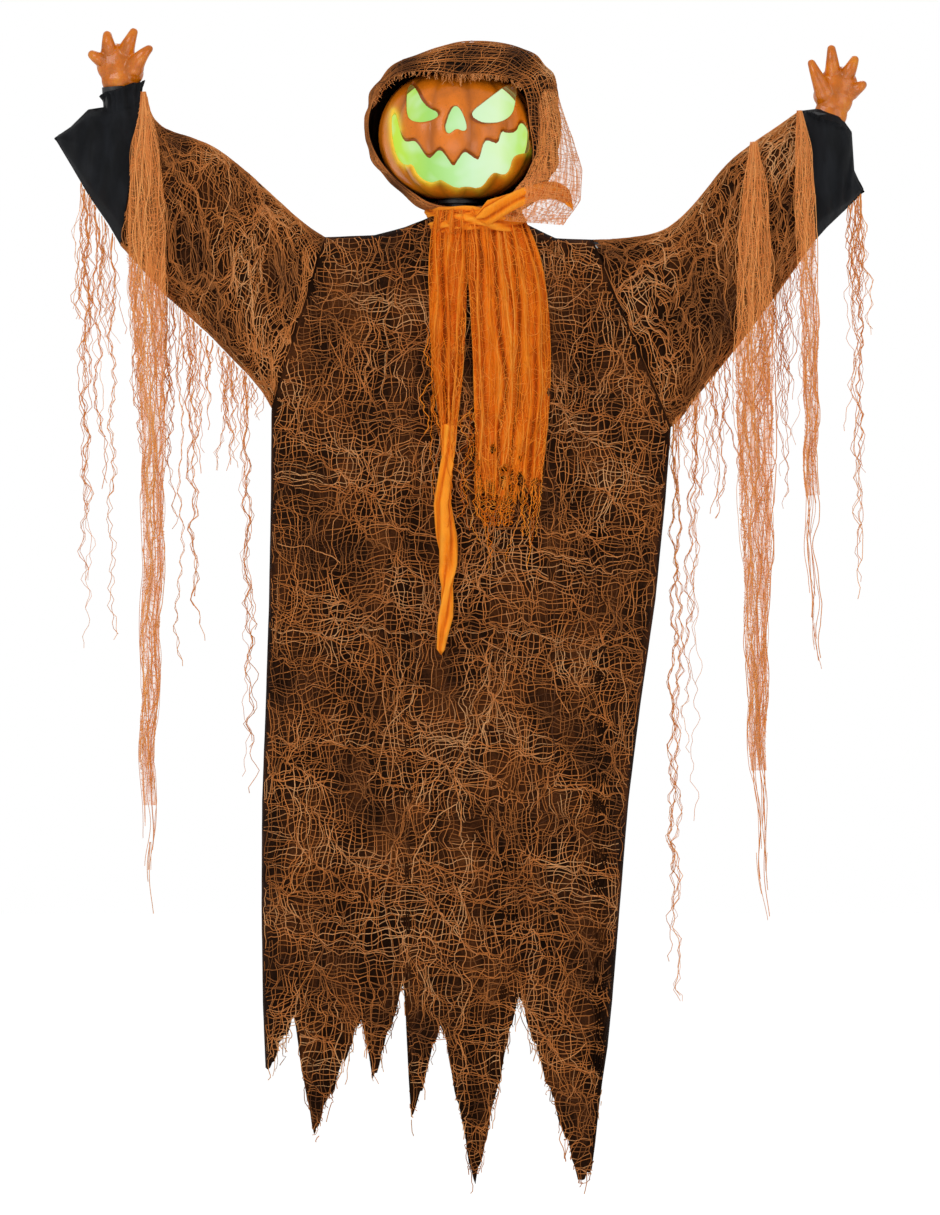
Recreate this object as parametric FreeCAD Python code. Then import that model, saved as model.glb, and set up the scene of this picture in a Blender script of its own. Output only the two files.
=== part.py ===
"""Hanging pumpkin-headed scarecrow: a lit pumpkin head on a neck post, a shoulder bar with two
pivoting padded arms and swivelling hands, and a tattered hooded robe with gauze over it.

Millimetres, +Z up, +X to the viewer's right, +Y away from the viewer.
The origin is the centre of the hanging eye.
"""

import FreeCAD, Part
import math
import os

from FreeCAD import Vector

# ---- head ------------------------------------------------------------------
PUMPKIN_CENTRE_Z = -134.0
PUMPKIN_RADIUS = 128.0          # at the crest of a lobe
PUMPKIN_HALF_HEIGHT = 108.0     # of the full ellipsoid, before its ends are cut flat
PUMPKIN_FLAT = 104.0            # centre to the flat top and bottom
PUMPKIN_WALL = 10.0
LOBES = 12
GROOVE_DEPTH = 6.0
HEAD_TURN = -5.5                # degrees, the face towards -X
LINER_GAP = 1.0
LINER_WALL = 2.0
SHELL_SCREW_HEIGHT = 46.0       # above and below the pumpkin's centre
CUT_TAPER = 0.86                # inner outline of a face cut over its outer one

# ---- neck post and what sits on it -------------------------------------------
POST_RADIUS = 11.0
POST_WALL = 2.0
POST_TOP = -14.0
POST_BOTTOM = -301.0
FIT = 0.05                      # radial clearance of a part on its shaft
EYE_HOLE_RADIUS = 5.0
EYE_RING_RADIUS = 10.0
EYE_THICKNESS = 4.0
EYE_SHANK_LENGTH = 34.0
COLLAR_FLANGE_RADIUS = 32.0
COLLAR_FLANGE = 5.0
COLLAR_HUB_RADIUS = 22.0
COLLAR_HUB_LENGTH = 13.0
COLLAR_SPIGOT_RADIUS = 24.0
COLLAR_SPIGOT = 9.0
BOARD_RADIUS = 34.0
BOARD_THICKNESS = 1.6
BOARD_STAND = 24.0              # board above the pumpkin's seat
LED_COUNT = 6
LED_RADIUS = 4.0
WIRE_RADIUS = 1.5
WIRE_OFFSET = 19.0              # wire in front of the post's axis

# ---- frame -------------------------------------------------------------------
BAR_Z = -315.0
BAR_RADIUS = 11.0
BAR_WALL = 2.0
BAR_HALF = 200.0
PIVOT_X = 218.0
HUB = (40.0, 32.0)              # width and depth
HUB_TOP = -278.0
HUB_BOTTOM = -340.0
CHEEK_RADIUS = 10.5
CHEEK = 4.0
FORK_GAP = 12.0
BOLT_RADIUS = 3.0

# ---- arms and hands ------------------------------------------------------------
ARM_LENGTH = 387.0              # pivot to the bend above the wrist
ARM_RADIUS = 6.5
ARM_WALL = 1.4
ARM_BEND = 54.0
ARM_BEND_RADIUS = 40.0
WRIST_RUN = 50.0                # bend to the wrist
RAISED = {"left": 32.0, "right": 25.0}
PAD_RADIUS = 30.0
PAD_START, PAD_END = 30.0, 352.0
PLUG_RADIUS = 20.0
PLUG_LENGTH = 34.0
HAND_WALL = 7.0
NECK_RADIUS = 35.0              # of the cuff where the hand comes out

# ---- cloth -----------------------------------------------------------------------
CLOTH = 2.0
GAUZE = 1.0
CLOTH_GAP = 0.4                 # between layers, and between cloth and what carries it
SLEEVE_RADIUS = 36.0            # half the depth of a sleeve
HOOD_RADII = (154.0, 150.0, 134.6)
HOOD_CENTRE_Z = -122.0
HOOD_BOTTOM = -246.0
# The robe's sections, from the neck down: height, centre, half width, half depth.
ROBE_SECTIONS = [
    (-246.0, 0.0, 60.0, 58.5),
    (-272.0, 0.0, 66.0, 60.0),
    (-288.0, 0.0, 112.0, 50.0),
    (-302.0, 5.0, 224.0, 38.0),
    (-330.0, 5.0, 236.0, 50.0),
    (-430.0, 8.0, 272.0, 60.0),
    (-565.0, 11.0, 320.0, 64.0),
    (-1037.0, -19.0, 299.0, 64.0),
    (-1830.0, -49.0, 273.0, 60.0),
]
# The torn hem, from left to right: the bottoms of the points and the tops of the slits.
HEM = [
    (-311.0, -1642.0), (-262.0, -1540.0), (-231.0, -1730.0), (-153.0, -1541.0),
    (-136.0, -1645.0), (-86.0, -1488.0), (-74.0, -1711.0), (-27.0, -1547.0),
    (27.0, -1815.0), (96.0, -1505.0), (197.0, -1815.0),
]
GAUZE_LIFT = 22.0               # the gauze's hem above the robe's
YOKE_SEAM = -345.0              # the yoke is sewn to the long panels here
SIDE_SEAMS = (-205.0, 170.0)    # the side panels are sewn to the middle one here
# Sleeves: where each section's lower edge is, at the armhole, the cuff seam and the mouth.
SLEEVE_FOOT = {
    "left": {"armhole": (-291.0, -570.0), "seam": (-549.0, -309.0), "mouth": (-552.0, -309.0)},
    "right": {"armhole": (331.0, -576.0), "seam": (560.0, -301.0), "mouth": (562.0, -301.0)},
}
MOUTH_HEAD = {"left": (-653.0, -138.0), "right": (635.0, -215.0)}
SEAM_ALONG = 363.0              # pivot to the cuff seam, along the arm

# ---- battery box -------------------------------------------------------------------
BOX_WIDTH, BOX_DEPTH, BOX_HEIGHT = 60.0, 24.0, 98.0
BOX_FRONT = -30.0
BOX_WALL = 2.2
DOOR_TOP = -358.4
BAY_FLOOR = -419.0
HINGE_Z = -416.5
CELL_RADIUS, CELL_LENGTH, CELL_PITCH = 7.1, 50.5, 17.0
SLIDER_TRAVEL = 6.0

X, Y, Z = Vector(1, 0, 0), Vector(0, 1, 0), Vector(0, 0, 1)
parts = {}


# ---- shape helpers -------------------------------------------------------------------
def rod(radius, start, end):
    """A solid cylinder from one point to another."""
    along = end - start
    return Part.makeCylinder(radius, along.Length, start, along)


def ring(outer, inner, start, end):
    """A cylinder with a hole through it."""
    along = (end - start).normalize()
    return rod(outer, start, end).cut(rod(inner, start - along, end + along))


def block(low, high):
    """A box between two corners."""
    size = Vector(*high) - Vector(*low)
    return Part.makeBox(size.x, size.y, size.z, Vector(*low))


def ellipsoid(centre, radii):
    """An ellipsoid with its axes along the frame's."""
    scale = FreeCAD.Matrix()
    scale.scale(*radii)
    shape = Part.makeSphere(1.0, Vector(0, 0, 0), Z, -90, 90, 360).transformGeometry(scale)
    shape.translate(centre)
    return shape


def prism(outline, y_low, y_high):
    """A straight-sided outline in the XZ plane, extruded along Y."""
    corners = [Vector(x, y_low, z) for x, z in outline]
    face = Part.Face(Part.makePolygon(corners + corners[:1]))
    return face.extrude(Vector(0, y_high - y_low, 0))


def slot_wire(top, foot, radius):
    """A stadium outline: flat towards both Y sides, its round ends centred on top and foot."""
    down = (foot - top).normalize() * radius
    side = Y * radius
    edges = [
        Part.Arc(top + side, top - down, top - side).toShape(),
        Part.LineSegment(top - side, foot - side).toShape(),
        Part.Arc(foot - side, foot + down, foot + side).toShape(),
        Part.LineSegment(foot + side, top + side).toShape(),
    ]
    return Part.Wire(edges)


def slot_loft(sections, radius, extend=0.0):
    """A solid through stadium sections (top, foot), run on past both ends by extend."""
    ends = []
    for first, second in ((0, 1), (-1, -2)):
        shift = [sections[first][k] - sections[second][k] for k in (0, 1)]
        step = [v.normalize() * extend if v.Length > 1e-6 else v for v in shift]
        if step[1].Length < 1e-6:
            step[1] = step[0]
        ends.append((sections[first][0] + step[0], sections[first][1] + step[1]))
    listed = list(sections)
    if extend:
        listed = [ends[0]] + listed + [ends[1]]
    return Part.makeLoft([slot_wire(t, f, radius) for t, f in listed], True, True)


def heaviest(shape):
    """The largest solid of a shape."""
    return max(shape.Solids, key=lambda s: s.Volume)


def add(name, *shapes):
    """Keeps one node, made of one or several separate solids."""
    solids = [s for shape in shapes for s in shape.Solids]
    parts[name] = solids[0] if len(solids) == 1 else Part.makeCompound(solids)


# ---- pumpkin head -----------------------------------------------------------------------
def lobed_wire(height, radius, groove):
    """A horizontal outline of the pumpkin: lobes with narrow grooves between them."""
    per_lobe = 6
    points = []
    for i in range(LOBES * per_lobe):
        turn = 2 * math.pi * i / (LOBES * per_lobe)
        crest = abs(math.cos(LOBES / 2 * turn)) ** 0.5
        r = radius - groove * (1 - crest)
        angle = turn - math.pi / 2
        points.append(Vector(r * math.cos(angle), r * math.sin(angle), PUMPKIN_CENTRE_Z + height))
    curve = Part.BSplineCurve()
    curve.interpolate(Points=points, PeriodicFlag=True)
    return Part.Wire(curve.toShape())


def lobed_solid(inset, flat):
    """The pumpkin's ellipsoid, drawn in by inset, with lobes and flat ends."""
    radius, half = PUMPKIN_RADIUS - inset, PUMPKIN_HALF_HEIGHT - inset
    steps = 12
    limit = math.asin(flat / half)
    wires = []
    for i in range(steps + 1):
        lift = half * math.sin(-limit + 2 * limit * i / steps)
        share = math.sqrt(1 - (lift / half) ** 2)
        wires.append(lobed_wire(lift, radius * share, GROOVE_DEPTH * share))
    return Part.makeLoft(wires, True, False)


def face_cut(outline):
    """A cut for an eye, the nose or the mouth: its outline narrows towards the inside."""
    middle = (
        sum(x for x, _ in outline) / len(outline),
        sum(z for _, z in outline) / len(outline),
    )
    wires = []
    for y, size in ((-PUMPKIN_RADIUS - 20, 1.08), (-22.0, CUT_TAPER)):
        corners = [
            Vector(
                middle[0] + (x - middle[0]) * size,
                y,
                PUMPKIN_CENTRE_Z + middle[1] + (z - middle[1]) * size,
            )
            for x, z in outline
        ]
        wires.append(Part.makePolygon(corners + corners[:1]))
    return Part.makeLoft(wires, True, True)


# Face outlines, seen from the front, from the pumpkin's centre.
EYE = [(24, 26), (42, 16), (66, 14), (82, 24), (86, 52), (80, 80), (62, 62)]
NOSE = [(-15, 2), (-8, 0), (0, 8), (8, 0), (15, 2), (8, 30), (0, 42), (-8, 30)]
MOUTH = [
    (-104, 36), (-92, -8), (-74, -10), (-50, -38), (-34, -24), (0, -54), (32, -24), (48, -38),
    (62, -8), (76, -16), (88, 2), (104, 12), (102, -22), (84, -34), (74, -62), (52, -58),
    (34, -84), (12, -78), (-8, -86), (-34, -74), (-58, -74), (-76, -50), (-94, -40),
]


def make_head():
    seat_z = PUMPKIN_CENTRE_Z - PUMPKIN_FLAT
    outer = lobed_solid(0.0, PUMPKIN_FLAT)
    inner = lobed_solid(PUMPKIN_WALL, PUMPKIN_FLAT - PUMPKIN_WALL)
    shell = outer.cut(inner)
    below, above = Vector(0, 0, seat_z - 5), Vector(0, 0, PUMPKIN_CENTRE_Z)
    shell = shell.cut(rod(COLLAR_SPIGOT_RADIUS + FIT, below, above))
    shell = shell.cut(rod(POST_RADIUS + FIT, above, Vector(0, 0, 0)))
    mirrored_eye = [(-x, z) for x, z in EYE]
    for outline in (EYE, mirrored_eye, NOSE, MOUTH):
        shell = shell.cut(face_cut(outline))

    half = PUMPKIN_RADIUS + 10
    low, high = PUMPKIN_CENTRE_Z - half, PUMPKIN_CENTRE_Z + half
    front = shell.common(block((-half, -half, low), (half, 0, high)))
    back = shell.common(block((-half, 0, low), (half, half, high)))
    screws = []
    head_y = 20.0
    lift = SHELL_SCREW_HEIGHT / PUMPKIN_HALF_HEIGHT
    screw_x = (PUMPKIN_RADIUS - PUMPKIN_WALL / 2) * math.sqrt(1 - lift ** 2) - 1
    for x in (-screw_x, screw_x):
        for z in (PUMPKIN_CENTRE_Z - SHELL_SCREW_HEIGHT, PUMPKIN_CENTRE_Z + SHELL_SCREW_HEIGHT):
            at = lambda y: Vector(x, y, z)
            shank = rod(1.5, at(-10), at(head_y))
            screws.append(shank.fuse(rod(3.0, at(head_y), at(head_y + 2.4))))
            front = front.cut(rod(1.5, at(-10), at(1)))
            back = back.cut(rod(1.6, at(-1), at(head_y)))
            back = back.cut(rod(3.3, at(head_y), at(half)))
    inset = PUMPKIN_WALL + LINER_GAP
    across = PUMPKIN_RADIUS - GROOVE_DEPTH - inset
    liner_radii = (across, across, PUMPKIN_HALF_HEIGHT - inset)
    liner_outer = ellipsoid(above, liner_radii)
    liner_inner = ellipsoid(above, [r - LINER_WALL for r in liner_radii])
    floor, roof = seat_z + PUMPKIN_WALL, PUMPKIN_CENTRE_Z + PUMPKIN_FLAT - PUMPKIN_WALL - LINER_GAP
    liner = liner_outer.cut(liner_inner).common(block((-half, -half, floor), (half, half, roof)))
    liner = liner.cut(rod(POST_RADIUS + 2, above, Vector(0, 0, 0)))
    liner = heaviest(liner.cut(rod(COLLAR_SPIGOT_RADIUS + 0.3, below, Vector(0, 0, floor + 12))))
    for name, shapes in (
        ("pumpkin_front", [heaviest(front)]),
        ("pumpkin_back", [heaviest(back)]),
        ("shell_screws", screws),
        ("light_liner", [liner]),
    ):
        turned = []
        for shape in shapes:
            copy = shape.copy()
            copy.rotate(Vector(0, 0, 0), Z, HEAD_TURN)
            turned.append(copy)
        add(name, *turned)


# ---- neck post, hanging eye, collar and lamp --------------------------------------------------
def make_post():
    seat_z = PUMPKIN_CENTRE_Z - PUMPKIN_FLAT
    roof_z = PUMPKIN_CENTRE_Z + PUMPKIN_FLAT
    washer_top = roof_z + 5.0
    groove = washer_top + 0.3
    bore = POST_RADIUS - POST_WALL
    rivet_z = POST_TOP - 4.5

    post = ring(POST_RADIUS, bore, Vector(0, 0, POST_BOTTOM), Vector(0, 0, POST_TOP))
    snap_low, snap_high = Vector(0, 0, groove), Vector(0, 0, groove + 1.2)
    post = post.cut(ring(POST_RADIUS + 5, POST_RADIUS - 0.7, snap_low, snap_high))
    rivet_hole = rod(1.55, Vector(0, -20, rivet_z), Vector(0, 20, rivet_z))
    add("neck_post", post.cut(rivet_hole))
    snap = ring(POST_RADIUS + 3, POST_RADIUS - 0.65, snap_low + Z * 0.05, snap_high - Z * 0.05)
    add("snap_ring", snap.cut(block((-3, 0, groove - 1), (3, 20, groove + 3))))
    add("top_washer", ring(24, POST_RADIUS + FIT, Vector(0, 0, roof_z + 0.4), Vector(0, 0, washer_top)))

    half = EYE_THICKNESS / 2
    eye = rod(EYE_RING_RADIUS, Vector(0, -half, 0), Vector(0, half, 0))
    shank_half = bore - 0.1
    eye = eye.fuse(block((-shank_half + 2, -half, POST_TOP), (shank_half - 2, half, -5)))
    eye = eye.fuse(block(
        (-shank_half + 0.3, -half, POST_TOP - EYE_SHANK_LENGTH), (shank_half - 0.3, half, POST_TOP)))
    eye = eye.cut(rod(EYE_HOLE_RADIUS, Vector(0, -half - 1, 0), Vector(0, half + 1, 0)))
    add("hang_eye", eye.cut(rivet_hole).removeSplitter())
    rivet = rod(1.5, Vector(0, -POST_RADIUS, rivet_z), Vector(0, POST_RADIUS, rivet_z))
    for side in (-1, 1):
        rivet = rivet.fuse(rod(3.0, Vector(0, side * POST_RADIUS, rivet_z),
                               Vector(0, side * (POST_RADIUS + 1.4), rivet_z)))
    add("eye_rivet", rivet)

    def level(z):
        return Vector(0, 0, z)

    flange_low = seat_z - COLLAR_FLANGE
    hub_low = flange_low - COLLAR_HUB_LENGTH
    collar = rod(COLLAR_FLANGE_RADIUS, level(flange_low), level(seat_z))
    collar = collar.fuse(rod(COLLAR_HUB_RADIUS, level(hub_low), level(flange_low)))
    collar = collar.fuse(rod(COLLAR_SPIGOT_RADIUS, level(seat_z), level(seat_z + COLLAR_SPIGOT)))
    collar = collar.fuse(rod(POST_RADIUS + 2.5, level(seat_z), level(seat_z + BOARD_STAND)))
    collar = collar.cut(rod(POST_RADIUS + FIT, level(hub_low - 1), level(seat_z + BOARD_STAND + 1)))
    wire_hole = rod(WIRE_RADIUS + 0.7, Vector(0, -WIRE_OFFSET, hub_low - 1),
                    Vector(0, -WIRE_OFFSET, seat_z + BOARD_STAND))
    screw_z = (hub_low + flange_low) / 2
    set_screw = rod(2.0, Vector(0, POST_RADIUS, screw_z), Vector(0, COLLAR_HUB_RADIUS + 1, screw_z))
    add("head_collar", collar.cut(wire_hole).cut(set_screw).removeSplitter())
    add("collar_screw", rod(2.0, Vector(0, POST_RADIUS, screw_z), Vector(0, COLLAR_HUB_RADIUS - 0.5, screw_z)))

    board_z = seat_z + BOARD_STAND
    add("led_board", ring(BOARD_RADIUS, POST_RADIUS + 0.2, level(board_z), level(board_z + BOARD_THICKNESS)))
    leds = []
    for i in range(LED_COUNT):
        turn = 2 * math.pi * i / LED_COUNT
        foot = Vector(24 * math.cos(turn), 24 * math.sin(turn), board_z + BOARD_THICKNESS)
        leds.append(rod(LED_RADIUS, foot, foot + Z * 4).fuse(Part.makeSphere(LED_RADIUS, foot + Z * 4)))
    add("leds", *leds)


def wire_solid(points, radius):
    """A round wire along straight runs, joined by tangent arcs as large as the runs allow."""
    edges, start = [], points[0]
    for before, corner, after in zip(points, points[1:], points[2:]):
        into, out = corner - before, after - corner
        reach = 0.45 * min(into.Length, out.Length)
        half_turn = into.getAngle(out) / 2
        print("wire bend radius", round(reach / math.tan(half_turn), 1))
        into.normalize()
        out.normalize()
        first, last = corner - into * reach, corner + out * reach
        sagitta = reach / math.tan(half_turn) * (1 / math.cos(half_turn) - 1)
        middle = corner + (out - into).normalize() * sagitta
        edges.append(Part.LineSegment(start, first).toShape())
        edges.append(Part.Arc(first, middle, last).toShape())
        start = last
    edges.append(Part.LineSegment(start, points[-1]).toShape())
    path = Part.Wire(edges)
    along = (points[1] - points[0]).normalize()
    profile = Part.Wire(Part.Circle(points[0], along, radius).toShape())
    return path.makePipeShell([profile], True, True)


def make_wire():
    board_z = PUMPKIN_CENTRE_Z - PUMPKIN_FLAT + BOARD_STAND
    add("lamp_wire", wire_solid([
        Vector(25, -WIRE_OFFSET, HUB_BOTTOM),
        Vector(25, -WIRE_OFFSET, HUB_BOTTOM + 28),
        Vector(0, -WIRE_OFFSET, HUB_TOP - 2),
        Vector(0, -WIRE_OFFSET, board_z),
    ], WIRE_RADIUS))


# ---- shoulder frame --------------------------------------------------------------------------
def make_frame():
    width, depth = HUB
    hub = block((-width / 2, -depth / 2, HUB_BOTTOM), (width / 2, depth / 2, HUB_TOP))
    hub = hub.makeFillet(3.0, [e for e in hub.Edges if abs(e.tangentAt(0).z) > 0.9])
    hub = hub.cut(rod(BAR_RADIUS + FIT, Vector(-width, 0, BAR_Z), Vector(width, 0, BAR_Z)))
    hub = hub.cut(rod(POST_RADIUS + FIT, Vector(0, 0, POST_BOTTOM), Vector(0, 0, HUB_TOP + 1)))
    screws = []
    for x, z in ((0, POST_BOTTOM + 11), (12, BAR_Z)):
        reach = POST_RADIUS + 0.02
        hub = hub.cut(rod(2.0, Vector(x, reach - 1, z), Vector(x, depth, z)))
        screw = rod(2.0, Vector(x, reach, z), Vector(x, depth / 2, z))
        screws.append(screw.fuse(rod(3.5, Vector(x, depth / 2, z), Vector(x, depth / 2 + 3, z))))
    for x in (-12, 12):
        hub = hub.cut(rod(1.5, Vector(x, -11.5, HUB_BOTTOM - 1), Vector(x, -11.5, HUB_BOTTOM + 12)))
    add("shoulder_hub", hub)
    add("hub_screws", *screws)
    add("shoulder_bar", ring(BAR_RADIUS, BAR_RADIUS - BAR_WALL,
                             Vector(-BAR_HALF, 0, BAR_Z), Vector(BAR_HALF, 0, BAR_Z)))

    bolts, nuts = [], []
    for side, sign in (("left", -1), ("right", 1)):
        pivot = Vector(sign * PIVOT_X, 0, BAR_Z)

        def place(x, y, z):
            return (sign * x, y, z)

        fork = rod(BAR_RADIUS - BAR_WALL - FIT, Vector(sign * (BAR_HALF - 50), 0, BAR_Z),
                   Vector(sign * BAR_HALF, 0, BAR_Z))
        fork = fork.fuse(rod(BAR_RADIUS, Vector(sign * BAR_HALF, 0, BAR_Z),
                             Vector(sign * (BAR_HALF + 6), 0, BAR_Z)))
        for near in (-FORK_GAP / 2 - CHEEK, FORK_GAP / 2):
            first = place(BAR_HALF + 4, near, BAR_Z - CHEEK_RADIUS)
            last = place(PIVOT_X, near + CHEEK, BAR_Z + CHEEK_RADIUS)
            low = [min(a, b) for a, b in zip(first, last)]
            high = [max(a, b) for a, b in zip(first, last)]
            cheek = block(low, high)
            cheek = cheek.fuse(rod(CHEEK_RADIUS, pivot + Y * near, pivot + Y * (near + CHEEK)))
            fork = fork.fuse(cheek)
        fork = fork.cut(rod(BOLT_RADIUS + FIT, pivot - Y * 20, pivot + Y * 20))
        add(f"shoulder_fork_{side}", fork.removeSplitter())

        outside = FORK_GAP / 2 + CHEEK
        bolt = rod(BOLT_RADIUS, pivot - Y * outside, pivot + Y * (outside + 6))
        bolts.append(bolt.fuse(rod(5.5, pivot - Y * (outside + 3.5), pivot - Y * outside)))
        nut = ring(5.0, BOLT_RADIUS, pivot + Y * outside, pivot + Y * (outside + 4.5))
        for lean in (-1, 1):
            wing = block((-1.2, 0, 0), (1.2, 5.5, 11))
            wing.rotate(Vector(0, 0, 0), Y, 90 + 90 * lean)
            wing.translate(pivot + Y * outside)
            nut = nut.fuse(wing.cut(rod(4.0, pivot, pivot + Y * 30)))
        nuts.append(nut)
    add("shoulder_bolts", *bolts)
    add("wing_nuts", *nuts)


# ---- battery box ---------------------------------------------------------------------------------
def make_battery_box():
    half = BOX_WIDTH / 2
    back = BOX_FRONT + BOX_DEPTH
    top, bottom = HUB_BOTTOM, HUB_BOTTOM - BOX_HEIGHT
    inside = half - BOX_WALL
    box = block((-half, BOX_FRONT, bottom), (half, back, top))
    box = box.makeFillet(3.0, [e for e in box.Edges if abs(e.tangentAt(0).z) > 0.9])
    box = box.cut(block((-inside, BOX_FRONT + BOX_WALL, BAY_FLOOR), (inside, back - BOX_WALL, top - BOX_WALL)))
    box = box.cut(block((-inside, back - BOX_WALL - 1, BAY_FLOOR), (inside, back + 1, DOOR_TOP + 0.4)))
    hinge_y = back - BOX_WALL / 2
    box = box.cut(rod(1.25, Vector(-half + 0.8, hinge_y, HINGE_Z), Vector(half - 0.8, hinge_y, HINGE_Z)))
    screws = []
    for x in (-12, 12):
        box = box.cut(rod(1.6, Vector(x, -11.5, top - BOX_WALL - 1), Vector(x, -11.5, top + 1)))
        foot = Vector(x, -11.5, top - BOX_WALL)
        screws.append(rod(1.5, foot, foot + Z * 13).fuse(rod(3.0, foot - Z * 2, foot)))
    middle = (BOX_FRONT + back) / 2
    box = box.cut(block((-12, middle - 5, bottom - 1), (12, middle + 5, bottom + 14)))
    add("battery_box", box)
    add("box_screws", *screws)

    door = block((-inside + 0.3, back - BOX_WALL, HINGE_Z), (inside - 0.3, back, DOOR_TOP))
    door = door.fuse(rod(1.9, Vector(-inside + 0.3, hinge_y, HINGE_Z), Vector(inside - 0.3, hinge_y, HINGE_Z)))
    door = door.fuse(rod(1.2, Vector(-half + 1, hinge_y, HINGE_Z), Vector(half - 1, hinge_y, HINGE_Z)))
    for k in range(3):
        rib_z = DOOR_TOP - 8 - 3 * k
        door = door.cut(block((-9, back - 0.6, rib_z), (9, back + 1, rib_z + 1.4)))
    add("battery_door", door.removeSplitter())

    cells, contacts = [], []
    cell_y = middle - 1.5
    for k in (-1, 0, 1):
        foot = Vector(k * CELL_PITCH, cell_y, BAY_FLOOR + 4)
        cell = rod(CELL_RADIUS, foot, foot + Z * (CELL_LENGTH - 1.2))
        cells.append(cell.fuse(rod(2.6, foot, foot + Z * CELL_LENGTH)))
        contacts.append(Part.makeCone(4.6, 2.6, 4, foot - Z * 4, Z))
        head = foot + Z * CELL_LENGTH
        contacts.append(block((head.x - 4, BOX_FRONT + BOX_WALL, head.z), (head.x + 4, head.y + 4, head.z + 0.8)))
    add("battery_cells", *cells)
    add("battery_contacts", *contacts)

    switch = block((-11.9, middle - 4.9, bottom), (11.9, middle + 4.9, bottom + 13.9))
    switch = switch.cut(block((-6, middle - 2.1, bottom - 1), (6, middle + 2.1, bottom + 5.5)))
    add("power_switch", switch)
    add("switch_slider", block((-5.7, middle - 2, bottom - 5), (-5.7 + 11.4 - SLIDER_TRAVEL - 0.3, middle + 2, bottom + 5.2)))


# ---- arms and hands ----------------------------------------------------------------------------------
def arm_frame(side):
    """The pivot, the arm's direction, the bend, the hand's direction and the wrist of one arm."""
    sign = -1 if side == "left" else 1
    lift, hand_lift = (math.radians(a) for a in (RAISED[side], RAISED[side] + ARM_BEND))
    pivot = Vector(sign * PIVOT_X, 0, BAR_Z)
    along = Vector(sign * math.cos(lift), 0, math.sin(lift))
    up = Vector(sign * math.cos(hand_lift), 0, math.sin(hand_lift))
    bend = pivot + along * ARM_LENGTH
    return pivot, along, bend, up, bend + up * WRIST_RUN


def make_arm(side):
    pivot, along, bend, up, wrist = arm_frame(side)
    eye_half = FORK_GAP / 2 - 0.2
    tube_start, tube_end = pivot + along * 13, wrist - up * 8
    set_back = ARM_BEND_RADIUS * math.tan(math.radians(ARM_BEND / 2))
    first, last = bend - along * set_back, bend + up * set_back
    inward = (up - along).normalize()
    rise = ARM_BEND_RADIUS * (1 / math.cos(math.radians(ARM_BEND / 2)) - 1)
    path = Part.Wire([
        Part.LineSegment(tube_start, first).toShape(),
        Part.Arc(first, bend + inward * rise, last).toShape(),
        Part.LineSegment(last, tube_end).toShape(),
    ])

    def tube(radius):
        return path.makePipeShell([Part.Wire(Part.Circle(tube_start, along, radius).toShape())], True, True)

    body = tube(ARM_RADIUS).cut(tube(ARM_RADIUS - ARM_WALL))
    eye = rod(10.0, pivot - Y * eye_half, pivot + Y * eye_half)
    across = along.cross(Y)
    neck_face = Part.Face(Part.makePolygon([
        pivot - Y * eye_half + across * 5, pivot - Y * eye_half - across * 5,
        pivot + Y * eye_half - across * 5, pivot + Y * eye_half + across * 5,
        pivot - Y * eye_half + across * 5]))
    neck = neck_face.extrude(along * 14)
    plug = rod(ARM_RADIUS - ARM_WALL, pivot + along * 13, pivot + along * 34)
    body = body.fuse(eye.fuse(neck).fuse(plug)).cut(rod(BOLT_RADIUS + FIT, pivot - Y * 20, pivot + Y * 20))
    add(f"arm_tube_{side}", body.removeSplitter())
    add(f"arm_pad_{side}", ring(PAD_RADIUS, ARM_RADIUS + 0.1, pivot + along * PAD_START, pivot + along * PAD_END))

    plug_end = wrist + up * 4
    wrist_plug = rod(PLUG_RADIUS, plug_end - up * PLUG_LENGTH, plug_end)
    wrist_plug = wrist_plug.cut(rod(ARM_RADIUS + FIT, plug_end - up * (PLUG_LENGTH + 1), tube_end))
    add(f"wrist_plug_{side}", wrist_plug)
    add(f"hand_{side}", make_hand(side, wrist, up, plug_end))
    tie_at = wrist - up * 20
    add(f"wrist_tie_{side}", ring(NECK_RADIUS + 1.8, NECK_RADIUS + 0.3, tie_at - up * 2.4, tie_at + up * 2.4))


def make_hand(side, wrist, up, plug_end):
    """A moulded hand: palm, four fingers and a hollow wrist that turns on the plug."""
    inner = -1 if side == "right" else 1    # the thumb is towards the head
    across = Vector(up.z, 0, -up.x) * inner
    if across.x * inner < 0:
        across = across * -1

    def at(v, u):
        return wrist + across * v + up * u

    palm = ellipsoid(Vector(0, 0, 0), (37, 17, 36))
    palm.rotate(Vector(0, 0, 0), Y, math.degrees(math.atan2(up.x, up.z)))
    palm.translate(at(-4, 32))
    hand = palm.fuse(rod(PLUG_RADIUS + HAND_WALL, wrist - up * 24, wrist + up * 14))
    fingers = [
        ((-26, 34), (-47, 50), 10.5, 6.5),
        ((-17, 46), (-25, 82), 12.0, 6.5),
        ((6, 46), (19, 90), 12.5, 6.5),
        ((18, 26), (44, 61), 14.5, 6.0),
    ]
    for base, tip, thick, thin in fingers:
        root_at, tip_at = at(*base), at(*tip)
        way = tip_at - root_at
        finger = Part.makeCone(thick, thin, way.Length, root_at, way)
        hand = hand.fuse(finger.fuse(Part.makeSphere(thin, tip_at)).fuse(Part.makeSphere(thick, root_at)))
    return hand.cut(rod(PLUG_RADIUS + FIT, wrist - up * 30, plug_end + up * 0.5))


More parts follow.
